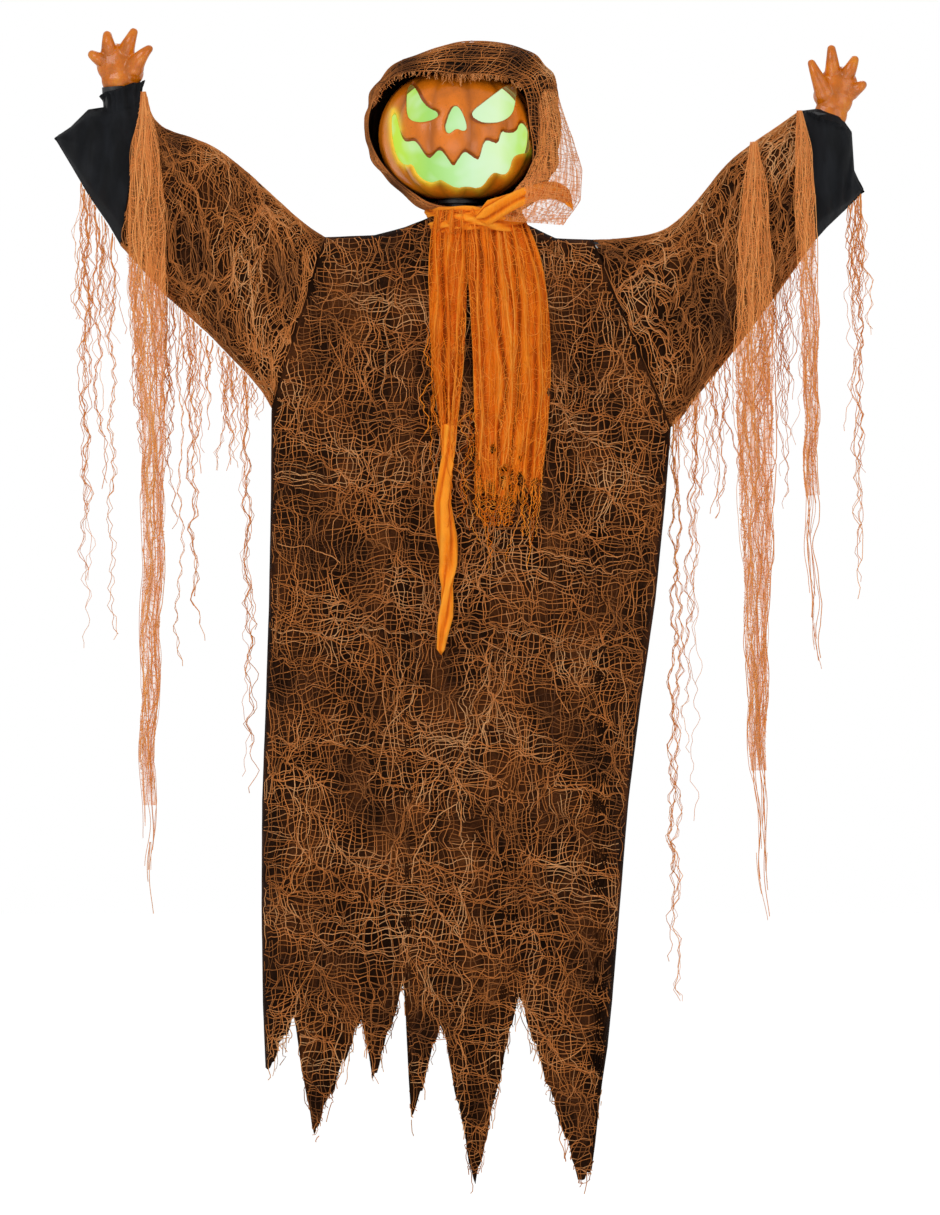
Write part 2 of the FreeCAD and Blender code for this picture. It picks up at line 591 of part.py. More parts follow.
# ---- robe, sleeves, hood and scarf ---------------------------------------------------------------------
def robe_solid(grow, extend=0.0):
    """The robe's outside, grown by an even thickness, and run on past both ends by extend."""
    sections = [(z + grow, x, a + grow, b + grow) for z, x, a, b in ROBE_SECTIONS]
    if extend:
        top, foot = sections[0], sections[-1]
        sections = [(ROBE_SECTIONS[0][0] + extend, *top[1:])] + sections + [(foot[0] - extend, *foot[1:])]
    wires = []
    for z, x, a, b in sections:
        wires.append(slot_wire(Vector(x - a + b, 0, z), Vector(x + a - b, 0, z), b))
    return Part.makeLoft(wires, True, True)


def armhole_cut(side):
    """What lies outside an armhole's plane, where the sleeve begins."""
    pivot = arm_frame(side)[0]
    foot = Vector(SLEEVE_FOOT[side]["armhole"][0], 0, SLEEVE_FOOT[side]["armhole"][1])
    line = (foot - pivot).normalize()
    top, low = pivot - line * (SLEEVE_RADIUS + 6), foot + line * 3
    far = 500.0 * (-1 if side == "left" else 1)
    return prism([(top.x, top.z), (low.x, low.z), (far, low.z), (far, top.z)], -120, 120)


def hem_cut(lift):
    """What the torn hem leaves out."""
    outline = [(-400.0, HEM[0][1] + 100)] + [(x, z) for x, z in HEM]
    outline += [(230.0, HEM[0][1]), (400.0, HEM[0][1]), (400.0, -1900.0), (-400.0, -1900.0)]
    return prism([(x, z + (lift if z > -1890 else 0)) for x, z in outline], -120, 120)


def make_robe():
    hem_z = ROBE_SECTIONS[-1][0]
    left_seam, right_seam = SIDE_SEAMS
    yoke = block((-500, -200, YOKE_SEAM), (500, 200, 50))
    middle = block((left_seam, -200, hem_z - 10), (right_seam, 200, YOKE_SEAM))
    left_side = block((-500, -200, hem_z - 10), (left_seam, 200, YOKE_SEAM))
    right_side = block((right_seam, -200, hem_z - 10), (500, 200, YOKE_SEAM))
    halves = {
        "front": block((-500, -200, hem_z - 10), (500, 0, 50)),
        "back": block((-500, 0, hem_z - 10), (500, 200, 50)),
    }
    layers = (
        ("robe", -CLOTH, 0.0, 0.0, (yoke, middle, left_side, right_side)),
        ("gauze", CLOTH_GAP, CLOTH_GAP + GAUZE, GAUZE_LIFT, (halves["front"].fuse(halves["back"]),)),
    )
    for layer, inside, outside, lift, panels in layers:
        shell = robe_solid(outside).cut(robe_solid(inside, 10.0))
        shell = shell.cut(armhole_cut("left")).cut(armhole_cut("right")).cut(hem_cut(lift))
        if layer == "gauze":
            shell = shell.cut(block((-300, -200, -268), (300, 200, 0)))
        for name, half in halves.items():
            cloth = shell.common(half)
            add(f"{layer}_{name}", *[heaviest(cloth.common(panel)) for panel in panels])


def make_sleeve(side):
    pivot, along, bend, up, wrist = arm_frame(side)

    def foot_centre(head, name):
        foot = Vector(SLEEVE_FOOT[side][name][0], 0, SLEEVE_FOOT[side][name][1])
        return foot - (foot - head).normalize() * SLEEVE_RADIUS

    start = pivot + along * CLOTH_GAP
    seam = pivot + along * SEAM_ALONG
    sections = [
        (start, foot_centre(pivot, "armhole") + along * CLOTH_GAP),
        (seam, foot_centre(seam, "seam")),
    ]
    for name, outer, inner in (
        (f"sleeve_{side}", SLEEVE_RADIUS, SLEEVE_RADIUS - CLOTH),
        (f"sleeve_gauze_{side}", SLEEVE_RADIUS + CLOTH_GAP + GAUZE, SLEEVE_RADIUS + CLOTH_GAP),
    ):
        add(name, slot_loft(sections, outer).cut(slot_loft(sections, inner, 5.0)))

    mouth_head = Vector(MOUTH_HEAD[side][0], 0, MOUTH_HEAD[side][1])
    mouth_foot = Vector(SLEEVE_FOOT[side]["mouth"][0], 0, SLEEVE_FOOT[side]["mouth"][1])
    mouth_line = (mouth_foot - mouth_head).normalize()
    gap = along * CLOTH_GAP
    seam_foot = foot_centre(seam, "seam")
    cuff_sections = [
        (seam + gap, seam_foot + gap),
        (mouth_head + mouth_line * SLEEVE_RADIUS, mouth_foot - mouth_line * (SLEEVE_RADIUS - 8)),
    ]
    neck_foot, neck_end = bend, wrist - up * 12
    outer = slot_loft(cuff_sections, SLEEVE_RADIUS).fuse(rod(NECK_RADIUS, neck_foot, neck_end))
    inner = slot_loft(cuff_sections, SLEEVE_RADIUS - CLOTH, 5.0)
    inner = inner.fuse(rod(NECK_RADIUS - CLOTH, neck_foot - up * 25, neck_end + up * 5))
    cuff = outer.cut(inner)
    seam_side = prism([
        (seam.x + gap.x - (seam_foot.x - seam.x) * 3, seam.z + gap.z - (seam_foot.z - seam.z) * 3),
        (seam.x + gap.x + (seam_foot.x - seam.x) * 3, seam.z + gap.z + (seam_foot.z - seam.z) * 3),
        (0, -900), (0, 500)], -60, 60)
    add(f"cuff_{side}", heaviest(cuff.cut(seam_side)))


def hood_solid(inset):
    return ellipsoid(Vector(0, 0, HOOD_CENTRE_Z), [r - inset for r in HOOD_RADII])


def make_hood():
    cloth = hood_solid(0).cut(hood_solid(CLOTH + 0.2))
    reach = HOOD_RADII[0] + 40
    cloth = cloth.common(block((-reach, -reach, HOOD_BOTTOM), (reach, reach, 50)))
    opening_centre, opening_radii = Vector(-20, 0, -146), (129, 98)
    major = Part.Ellipse(
        opening_centre + X * opening_radii[0] + Y * -200, opening_centre + Z * opening_radii[1] + Y * -200,
        opening_centre + Y * -200)
    opening = Part.Face(Part.Wire(major.toShape())).extrude(Y * 178)
    cloth = cloth.cut(opening)
    slit = rod(EYE_RING_RADIUS + 4, Vector(0, 0, -4), Vector(0, reach, -4))
    add("hood", heaviest(cloth.cut(slit)))

    veil_centre, veil_radii = Vector(108, -6, -166), (78, 92, 112)
    veil = ellipsoid(veil_centre, veil_radii).cut(ellipsoid(veil_centre, [r - GAUZE for r in veil_radii]))
    veil = veil.cut(hood_solid(-CLOTH_GAP))
    veil = veil.common(block((60, -200, -268), (300, 200, 0)))
    veil = veil.cut(robe_solid(CLOTH_GAP * 2 + GAUZE, 0.0))
    veil = veil.cut(rod(80.5, Vector(0, 0, -300), Vector(0, 0, -244)))
    veil = veil.cut(opening)
    add("hood_veil", heaviest(veil))


def make_scarf():
    neck = ROBE_SECTIONS[1]
    wrap_inner = neck[2] + CLOTH_GAP * 2 + GAUZE + 0.2
    wrap_top, wrap_bottom = HOOD_BOTTOM - 1, neck[0] + 2
    wrap = ring(wrap_inner + 10, wrap_inner, Vector(0, 0, wrap_bottom), Vector(0, 0, wrap_top))
    add("scarf_wrap", wrap)

    front = {z: -(b + CLOTH_GAP * 2 + GAUZE) for z, _, _, b in ROBE_SECTIONS}
    lean = [(-(wrap_inner + 10 + CLOTH_GAP), wrap_top), (-(wrap_inner + 10 + CLOTH_GAP), wrap_bottom - 10)]
    chest_z = ROBE_SECTIONS[6][0]

    def hanging(x_low, x_high, bottom, thick, ahead=0.0):
        """A cloth length that leaves the neck, leans on the chest and hangs to its end."""
        y_chest = front[chest_z] - ahead
        back_line = [(y - ahead, z) for y, z in lean] + [(y_chest, -440.0), (y_chest, bottom)]
        front_line = [(y - thick, z) for y, z in reversed(back_line)]
        corners = [Vector(x_low, y, z) for y, z in back_line + front_line]
        return Part.Face(Part.makePolygon(corners + corners[:1])).extrude(X * (x_high - x_low))

    add("scarf_panel", hanging(-6, 138, -756, 10.0))
    tail = hanging(-56, -8, -640, 8.0)
    strip = hanging(-52, -16, -954, 4.0)
    add("scarf_tail", tail.fuse(strip).removeSplitter())


def make_strips():
    """Loose gauze lengths over the arms, tassels at the cuffs and threads under the sleeves."""
    face = SLEEVE_RADIUS + CLOTH_GAP + GAUZE + CLOTH_GAP
    cuff_face = SLEEVE_RADIUS + CLOTH_GAP
    for name, x_low, x_high, top, bottom in (
        ("strip_left", -531, -478, -98, -1390),
        ("strip_right_outer", 512, 548, -150, -1060),
        ("strip_right_inner", 442, 494, -176, -1370),
    ):
        add(name, block((x_low, -face - 2.4, bottom), (x_high, -face, top)))
    for name, x_low, x_high, top, bottom in (
        ("tassel_left", -600, -568, -215, -965),
        ("tassel_right", 610, 634, -205, -815),
    ):
        add(name, block((x_low, -cuff_face - 1.0, bottom), (x_high, -cuff_face, top)))
    for side, threads in (
        ("left", ((-470, -880), (-425, -900), (-380, -1460), (-335, -960))),
        ("right", ((345, -1690), (375, -1290), (420, -900), (470, -880))),
    ):
        (x0, z0), (x1, z1) = SLEEVE_FOOT[side]["armhole"], SLEEVE_FOOT[side]["seam"]
        lengths = []
        for x, bottom in threads:
            edge = z0 + (z1 - z0) * (x - x0) / (x1 - x0)
            top = edge + 2 * SLEEVE_RADIUS
            lengths.append(block((x - 1.5, face, bottom), (x + 1.5, face + 1.4, top)))
        add(f"fringe_{side}", *lengths)


def main():
    make_head()
    make_post()
    make_wire()
    make_frame()
    make_battery_box()
    for side in ("left", "right"):
        make_arm(side)
        make_sleeve(side)
    make_robe()
    make_hood()
    make_scarf()
    make_strips()
    os.makedirs("parts", exist_ok=True)
    for name, shape in parts.items():
        if not shape.isValid():
            print("not valid:", name)
        shape.exportStep(f"parts/{name}.step")
    print(len(parts), "nodes")


main()
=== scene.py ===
"""The looks of a hanging pumpkin-headed scarecrow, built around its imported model.

Cloth faces are grown from one outline of the whole robe, sleeves and cuffs, so that the pieces meet
at the armholes. Gauze is real thread: wavy lines laid over the cloth and swept by Geometry Nodes.
"""

import math

import bmesh
import bpy
import numpy as np
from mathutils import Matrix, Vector
from mathutils.bvhtree import BVHTree


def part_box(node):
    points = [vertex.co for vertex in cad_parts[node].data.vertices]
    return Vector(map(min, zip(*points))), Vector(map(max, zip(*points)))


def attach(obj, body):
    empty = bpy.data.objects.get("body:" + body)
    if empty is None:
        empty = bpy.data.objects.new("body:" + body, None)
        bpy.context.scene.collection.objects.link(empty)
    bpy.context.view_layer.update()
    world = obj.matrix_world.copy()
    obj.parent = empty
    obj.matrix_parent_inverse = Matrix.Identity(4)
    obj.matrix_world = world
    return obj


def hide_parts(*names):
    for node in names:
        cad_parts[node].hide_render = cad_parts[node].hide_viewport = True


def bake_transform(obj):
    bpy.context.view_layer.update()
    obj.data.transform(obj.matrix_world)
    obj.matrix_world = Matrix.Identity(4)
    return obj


bl_info = {
    "name": "Hanging Scarecrow",
    "version": (1, 0, 0),
    "blender": (4, 5, 0),
    "location": "3D View > Sidebar > Scarecrow",
    "description": "Builds the cloth, gauze, head and hands of a hanging scarecrow around its frame",
    "category": "Add Mesh",
}

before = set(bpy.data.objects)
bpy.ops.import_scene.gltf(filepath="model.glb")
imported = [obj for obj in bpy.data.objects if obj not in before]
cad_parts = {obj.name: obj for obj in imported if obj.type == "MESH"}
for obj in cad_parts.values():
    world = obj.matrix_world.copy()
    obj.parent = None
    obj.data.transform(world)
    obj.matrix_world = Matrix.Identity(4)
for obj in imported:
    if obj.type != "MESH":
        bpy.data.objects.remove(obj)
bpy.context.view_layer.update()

# ---- sizes and colours that a user would change ------------------------------------
MM = 0.001


class ClothSettings(bpy.types.PropertyGroup):
    """The robe, its sleeves and the gauze over them."""

    pitch: bpy.props.FloatProperty(
        name="Gauze pitch", description="Spacing of the gauze's threads", default=0.0058, unit="LENGTH")
    thread: bpy.props.FloatProperty(
        name="Thread radius", description="Half the thickness of a gauze thread", default=0.00078,
        unit="LENGTH")
    crinkle: bpy.props.FloatProperty(
        name="Crinkle", description="How far the threads wander, as a share of the usual", default=1.0)
    fold: bpy.props.FloatProperty(
        name="Fold depth", description="Depth of the robe's hanging folds", default=0.008, unit="LENGTH")
    lining: bpy.props.FloatVectorProperty(
        name="Lining", description="Colour of the cloth under the gauze", subtype="COLOR",
        default=(0.030, 0.011, 0.0045))
    gauze: bpy.props.FloatVectorProperty(
        name="Gauze", description="Colour of the robe's gauze", subtype="COLOR",
        default=(0.33, 0.118, 0.034))
    gauze_bright: bpy.props.FloatVectorProperty(
        name="Bright gauze", description="Colour of the gauze's lightest threads", subtype="COLOR",
        default=(0.68, 0.23, 0.055))
    cuff: bpy.props.FloatVectorProperty(
        name="Cuff", description="Colour of the black cuffs", subtype="COLOR",
        default=(0.0045, 0.005, 0.0062))


class ScarfSettings(bpy.types.PropertyGroup):
    """The orange scarf and the loose lengths of gauze."""

    orange: bpy.props.FloatVectorProperty(
        name="Scarf", description="Colour of the scarf", subtype="COLOR", default=(0.95, 0.25, 0.010))
    # Painted shade: this dark colour is painted into the troughs of the scarf's folds; the scarf's threads
    # also use it as a dark tone.
    deep: bpy.props.FloatVectorProperty(
        name="Scarf folds", description="Colour deep in the scarf's folds", subtype="COLOR",
        default=(0.66, 0.115, 0.004))
    sheer: bpy.props.FloatVectorProperty(
        name="Loose gauze", description="Colour of the loose lengths and the fringe", subtype="COLOR",
        default=(0.82, 0.29, 0.075))
    strand: bpy.props.FloatProperty(
        name="Strand radius", description="Half the thickness of a loose strand", default=0.0007,
        unit="LENGTH")


class HeadSettings(bpy.types.PropertyGroup):
    """The pumpkin head, its light and the hood."""

    shell: bpy.props.FloatVectorProperty(
        name="Pumpkin", description="Colour of the pumpkin's shell", subtype="COLOR",
        default=(0.68, 0.165, 0.004))
    wall: bpy.props.FloatProperty(
        name="Wall", description="Thickness of the pumpkin's wall at the cut face", default=0.010,
        unit="LENGTH")
    groove: bpy.props.FloatProperty(
        name="Groove depth", description="Depth of the grooves between the lobes", default=0.0045,
        unit="LENGTH")
    glow: bpy.props.FloatProperty(
        name="Glow", description="Strength of the light behind the face", default=1.0)
    hand: bpy.props.FloatVectorProperty(
        name="Hands", description="Colour of the moulded hands", subtype="COLOR",
        default=(0.62, 0.15, 0.001))


GROUPS = (("scarecrow_cloth", ClothSettings), ("scarecrow_scarf", ScarfSettings),
          ("scarecrow_head", HeadSettings))


# ---- the figure's outline, in millimetres seen from the front ----------------------
ROBE_LEFT = [(-297, -213), (-570, -298), (-717, -299), (-877, -302), (-1037, -307), (-1197, -313),
             (-1357, -314), (-1517, -312), (-1640, -307)]
ROBE_RIGHT = [(-301, 215), (-600, 340), (-717, 331), (-877, 315), (-1037, 292), (-1197, 272),
              (-1357, 259), (-1517, 246), (-1640, 234)]
NECKLINE = [(-213, -297), (-134, -294), (-84, -281), (-42, -265), (74, -260), (112, -278),
            (156, -299), (215, -301)]
HEM = [(-311, -1642), (-262, -1540), (-231, -1730), (-153, -1541), (-136, -1645), (-86, -1488),
       (-74, -1711), (-27, -1547), (27, -1812), (96, -1505), (197, -1812), (216, -1770),
       (236, -1590)]
SLEEVE_TOP = {
    "left": [(-213, -297), (-245, -277), (-301, -226), (-341, -189), (-389, -152), (-429, -136),
             (-469, -125), (-491, -104), (-500, -66)],
    "right": [(215, -301), (268, -299), (323, -290), (355, -268), (387, -234), (427, -181),
              (467, -149), (515, -117), (547, -94)],
}
SLEEVE_FOOT = {"left": [(-298, -570), (-312, -545), (-335, -517), (-397, -453), (-468, -389), (-540, -309)],
               "right": [(340, -600), (357, -585), (386, -546), (451, -466), (513, -383), (571, -301)]}
CUFF_EDGE = {
    "left": [(-566, -86), (-578, -92), (-592, -92), (-606, -106), (-624, -124), (-645, -137),
             (-600, -214), (-542, -309)],
    "right": [(624, -110), (630, -128), (634, -190), (641, -208), (649, -222), (610, -262),
              (573, -300)],
}
HAND_GAP = {"left": [(-560, -20), (-495, -20)], "right": [(568, -40), (640, -60)]}
CREASES = [(0.032, -1.10, 0.010, 0.010), (-0.178, -0.95, 0.008, 0.016), (0.108, -1.00, 0.007, 0.014),
           (-0.215, -0.62, 0.009, 0.020), (0.186, -0.55, 0.007, 0.018), (-0.075, -0.80, 0.005, 0.02),
           (-0.245, -1.20, 0.006, 0.012)]


def metres(points):
    return np.array(points, float) * MM


def along(points, share):
    """Points at shares of the way along a polyline, by length."""
    points = np.asarray(points, float)
    steps = np.linalg.norm(np.diff(points, axis=0), axis=1)
    reach = np.concatenate([[0], np.cumsum(steps)]) / steps.sum()
    share = np.asarray(share)
    return np.stack([np.interp(share, reach, points[:, k]) for k in range(points.shape[1])], -1)


def rounded(points, rounds=2):
    """An open outline with its corners cut and cut again, its ends kept."""
    points = np.asarray(points, float)
    for _ in range(rounds):
        near = points[:-1] * 0.75 + points[1:] * 0.25
        far = points[:-1] * 0.25 + points[1:] * 0.75
        middle = np.stack([near, far], 1).reshape(-1, points.shape[1])
        points = np.concatenate([points[:1], middle[1:-1], points[-1:]])
    return points


def silhouette():
    """The outline of robe, sleeves and cuffs together, as one closed polygon."""
    line = [rounded(metres(SLEEVE_TOP["left"]))[::-1], metres(NECKLINE)[1:-1]]
    line.append(rounded(metres(SLEEVE_TOP["right"])))
    line.append(metres(HAND_GAP["right"]))
    line.append(metres(CUFF_EDGE["right"]))
    line.append(metres(SLEEVE_FOOT["right"])[::-1])
    line.append(metres([(x, z) for z, x in ROBE_RIGHT[2:]] + [(220, -2000), (-300, -2000)]))
    line.append(metres([(x, z) for z, x in ROBE_LEFT[2:]])[::-1])
    line.append(metres(SLEEVE_FOOT["left"]))
    line.append(metres(CUFF_EDGE["left"])[::-1])
    line.append(metres(HAND_GAP["left"]))
    return np.concatenate(line)


SILHOUETTE = silhouette()


def edge_distance(x, z):
    """Distance from points of the front view to the silhouette's edge."""
    x, z = np.broadcast_arrays(np.asarray(x, float), np.asarray(z, float))
    flat = np.stack([x.ravel(), z.ravel()], 1)
    best = np.full(len(flat), 9.0)
    start = SILHOUETTE
    step = np.roll(SILHOUETTE, -1, axis=0) - start
    for a, d in zip(start, step):
        size = d @ d
        if size < 1e-12:
            continue
        t = np.clip(((flat - a) @ d) / size, 0, 1)
        best = np.minimum(best, np.linalg.norm(flat - a - t[:, None] * d, axis=1))
    return best.reshape(x.shape)


def waves(seed, wavelength, x, z, count=7):
    """Smooth irregular variation, mostly from -1 to 1, from sine waves in random directions."""
    rng = np.random.default_rng(seed)
    total = 0.0
    for _ in range(count):
        angle, phase, stretch = rng.uniform(0, math.pi), rng.uniform(0, 2 * math.pi), rng.uniform(0.6, 1.7)
        k = 2 * math.pi / (wavelength * stretch)
        total = total + np.sin(k * (x * math.cos(angle) + z * math.sin(angle)) + phase)
    return total / math.sqrt(count)


def smooth(value, low, high):
    t = np.clip((value - low) / (high - low), 0, 1)
    return t * t * (3 - 2 * t)


def half_depth(x, z, side):
    """How far the cloth stands out from the middle plane; side is -1 at the front, 1 at the back."""
    inside = edge_distance(x, z)
    torso = smooth(0.215 - np.abs(x), 0.0, 0.12)
    low = smooth(-z, 0.50, 0.70)
    full = 0.034 + 0.026 * np.maximum(torso, low * smooth(0.345 - np.abs(x), 0.0, 0.03))
    depth = full * np.sqrt(np.clip(1 - (1 - np.clip(inside / 0.075, 0, 1)) ** 2, 0, 1))
    collar = 0.055 * np.exp(-(((x - 0.018) / 0.08) ** 4)) * smooth(z, -0.35, -0.275)
    depth = np.maximum(depth, collar)
    fold = bpy.context.scene.scarecrow_cloth.fold
    near = smooth(inside, 0.006, 0.06)
    seed = 3 if side < 0 else 40
    hanging = waves(seed, 0.085, x, z / 9.0) + 0.5 * waves(seed + 1, 0.04, x, z / 7.0)
    body = smooth(0.36 - np.abs(x), 0.0, 0.05)
    arm = 1 - body
    across = 0.9 * waves(seed + 2, 0.07, x * 0.8 + z * 0.6 * np.sign(x), (z - x) / 4)
    depth = depth + near * fold * 0.55 * (body * hanging + arm * across)
    if side < 0:
        for at, top, deep, wide in CREASES:
            drift = at + 0.006 * np.sin(z * 9 + at * 40)
            depth = depth - near * deep * np.exp(-(((x - drift) / wide) ** 2)) * smooth(top - z, -0.15, 0.2)
    return np.maximum(depth, 0.0008)


# ---- mesh helpers ------------------------------------------------------------------
def link(name, mesh):
    piece = bpy.data.objects.new(name, mesh)
    bpy.context.scene.collection.objects.link(piece)
    return piece


def mesh_piece(name, points, faces, material, sharp=None):
    """A new mesh object from points and faces, smooth unless a face angle is over sharp."""
    mesh = bpy.data.meshes.new(name)
    mesh.from_pydata([tuple(p) for p in np.asarray(points, float)], [], faces)
    mesh.validate()
    mesh.shade_smooth()
    if sharp is not None:
        mesh.set_sharp_from_angle(angle=sharp)
    mesh.materials.append(material)
    return link(name, mesh)


def grid_faces(rows, columns, closed=False):
    """Quads of a grid whose points run along each row first."""
    faces = []
    wide = columns if closed else columns - 1
    for r in range(rows - 1):
        for c in range(wide):
            nxt = (c + 1) % columns
            faces.append((r * columns + c, r * columns + nxt, (r + 1) * columns + nxt, (r + 1) * columns + c))
    return faces


def far_fan(rows, columns, pole):
    """Triangles that close a tube's last ring on a point."""
    ring = (rows - 1) * columns
    return [(ring + c, ring + (c + 1) % columns, pole) for c in range(columns)]


def apply_modifiers(piece):
    """Turns an object with modifiers into its own plain mesh."""
    graph = bpy.context.evaluated_depsgraph_get()
    mesh = bpy.data.meshes.new_from_object(piece.evaluated_get(graph))
    old = piece.data
    piece.modifiers.clear()
    piece.data = mesh
    bpy.data.meshes.remove(old)
    return piece


def thicken(piece, thickness, offset=0.0):
    solid = piece.modifiers.new("thickness", "SOLIDIFY")
    solid.thickness = thickness
    solid.offset = offset
    return apply_modifiers(piece)


# ---- threads by Geometry Nodes -----------------------------------------------------
def thread_tree():
    """Sweeps a small three-sided thread along every edge line of a mesh, thick as its own attribute."""
    tree = bpy.data.node_groups.get("Threads")
    if tree:
        return tree
    tree = bpy.data.node_groups.new("Threads", "GeometryNodeTree")
    face = tree.interface
    face.new_socket("Lines", in_out="INPUT", socket_type="NodeSocketGeometry")
    radius = face.new_socket("Radius", in_out="INPUT", socket_type="NodeSocketFloat")
    radius.default_value = 0.0007
    face.new_socket("Material", in_out="INPUT", socket_type="NodeSocketMaterial")
    face.new_socket("Thread", in_out="OUTPUT", socket_type="NodeSocketGeometry")
    node = tree.nodes.new
    enter, leave = node("NodeGroupInput"), node("NodeGroupOutput")
    lines, ring, sweep = node("GeometryNodeMeshToCurve"), node("GeometryNodeCurvePrimitiveCircle"), node(
        "GeometryNodeCurveToMesh")
    ring.inputs["Resolution"].default_value = 3
    ring.inputs["Radius"].default_value = 1.0
    thick = node("GeometryNodeInputNamedAttribute")
    thick.data_type = "FLOAT"
    thick.inputs["Name"].default_value = "thick"
    scale = node("ShaderNodeMath")
    scale.operation = "MULTIPLY"
    even, real, shade = node("GeometryNodeSetShadeSmooth"), node("GeometryNodeRealizeInstances"), node(
        "GeometryNodeSetMaterial")
    wire = tree.links.new
    wire(enter.outputs["Lines"], lines.inputs["Mesh"])
    wire(lines.outputs["Curve"], sweep.inputs["Curve"])
    wire(ring.outputs["Curve"], sweep.inputs["Profile Curve"])
    wire(thick.outputs["Attribute"], scale.inputs[0])
    wire(enter.outputs["Radius"], scale.inputs[1])
    wire(scale.outputs["Value"], sweep.inputs["Scale"])
    wire(sweep.outputs["Mesh"], even.inputs[0])
    wire(even.outputs[0], real.inputs[0])
    wire(real.outputs[0], shade.inputs["Geometry"])
    wire(enter.outputs["Material"], shade.inputs["Material"])
    wire(shade.outputs["Geometry"], leave.inputs["Thread"])
    return tree


def thread_piece(name, lines, material, radius):
    """One object of swept threads. Each line is (points, tint, thick); tint picks its shade."""
    points, edges, tints, thicks = [], [], [], []
    count = 0
    for line, tint, thick in lines:
        n = len(line)
        if n < 2:
            continue
        points.append(line)
        tints.append(np.broadcast_to(tint, n))
        thicks.append(np.broadcast_to(thick, n))
        start = np.arange(count, count + n - 1)
        edges.append(np.stack([start, start + 1], 1))
        count += n
    points, edges = np.concatenate(points), np.concatenate(edges)
    mesh = bpy.data.meshes.new(name)
    mesh.vertices.add(len(points))
    mesh.vertices.foreach_set("co", points.astype(np.float32).ravel())
    mesh.edges.add(len(edges))
    mesh.edges.foreach_set("vertices", edges.astype(np.int32).ravel())
    for attribute, values in (("tint", tints), ("thick", thicks)):
        layer = mesh.attributes.new(attribute, "FLOAT", "POINT")
        layer.data.foreach_set("value", np.concatenate(values).astype(np.float32))
    piece = link(name, mesh)
    sweep = piece.modifiers.new("threads", "NODES")
    sweep.node_group = thread_tree()
    sockets = {s.name: s.identifier for s in sweep.node_group.interface.items_tree if s.in_out == "INPUT"}
    sweep[sockets["Radius"]] = radius
    sweep[sockets["Material"]] = material
    apply_modifiers(piece)
    if not piece.data.materials:
        piece.data.materials.append(material)
    return piece


def runs(keep):
    """The stretches where keep is true, as slices of at least three points."""
    change = np.flatnonzero(np.diff(np.concatenate([[0], keep.astype(int), [0]])))
    return [slice(a, b) for a, b in zip(change[::2], change[1::2]) if b - a >= 3]


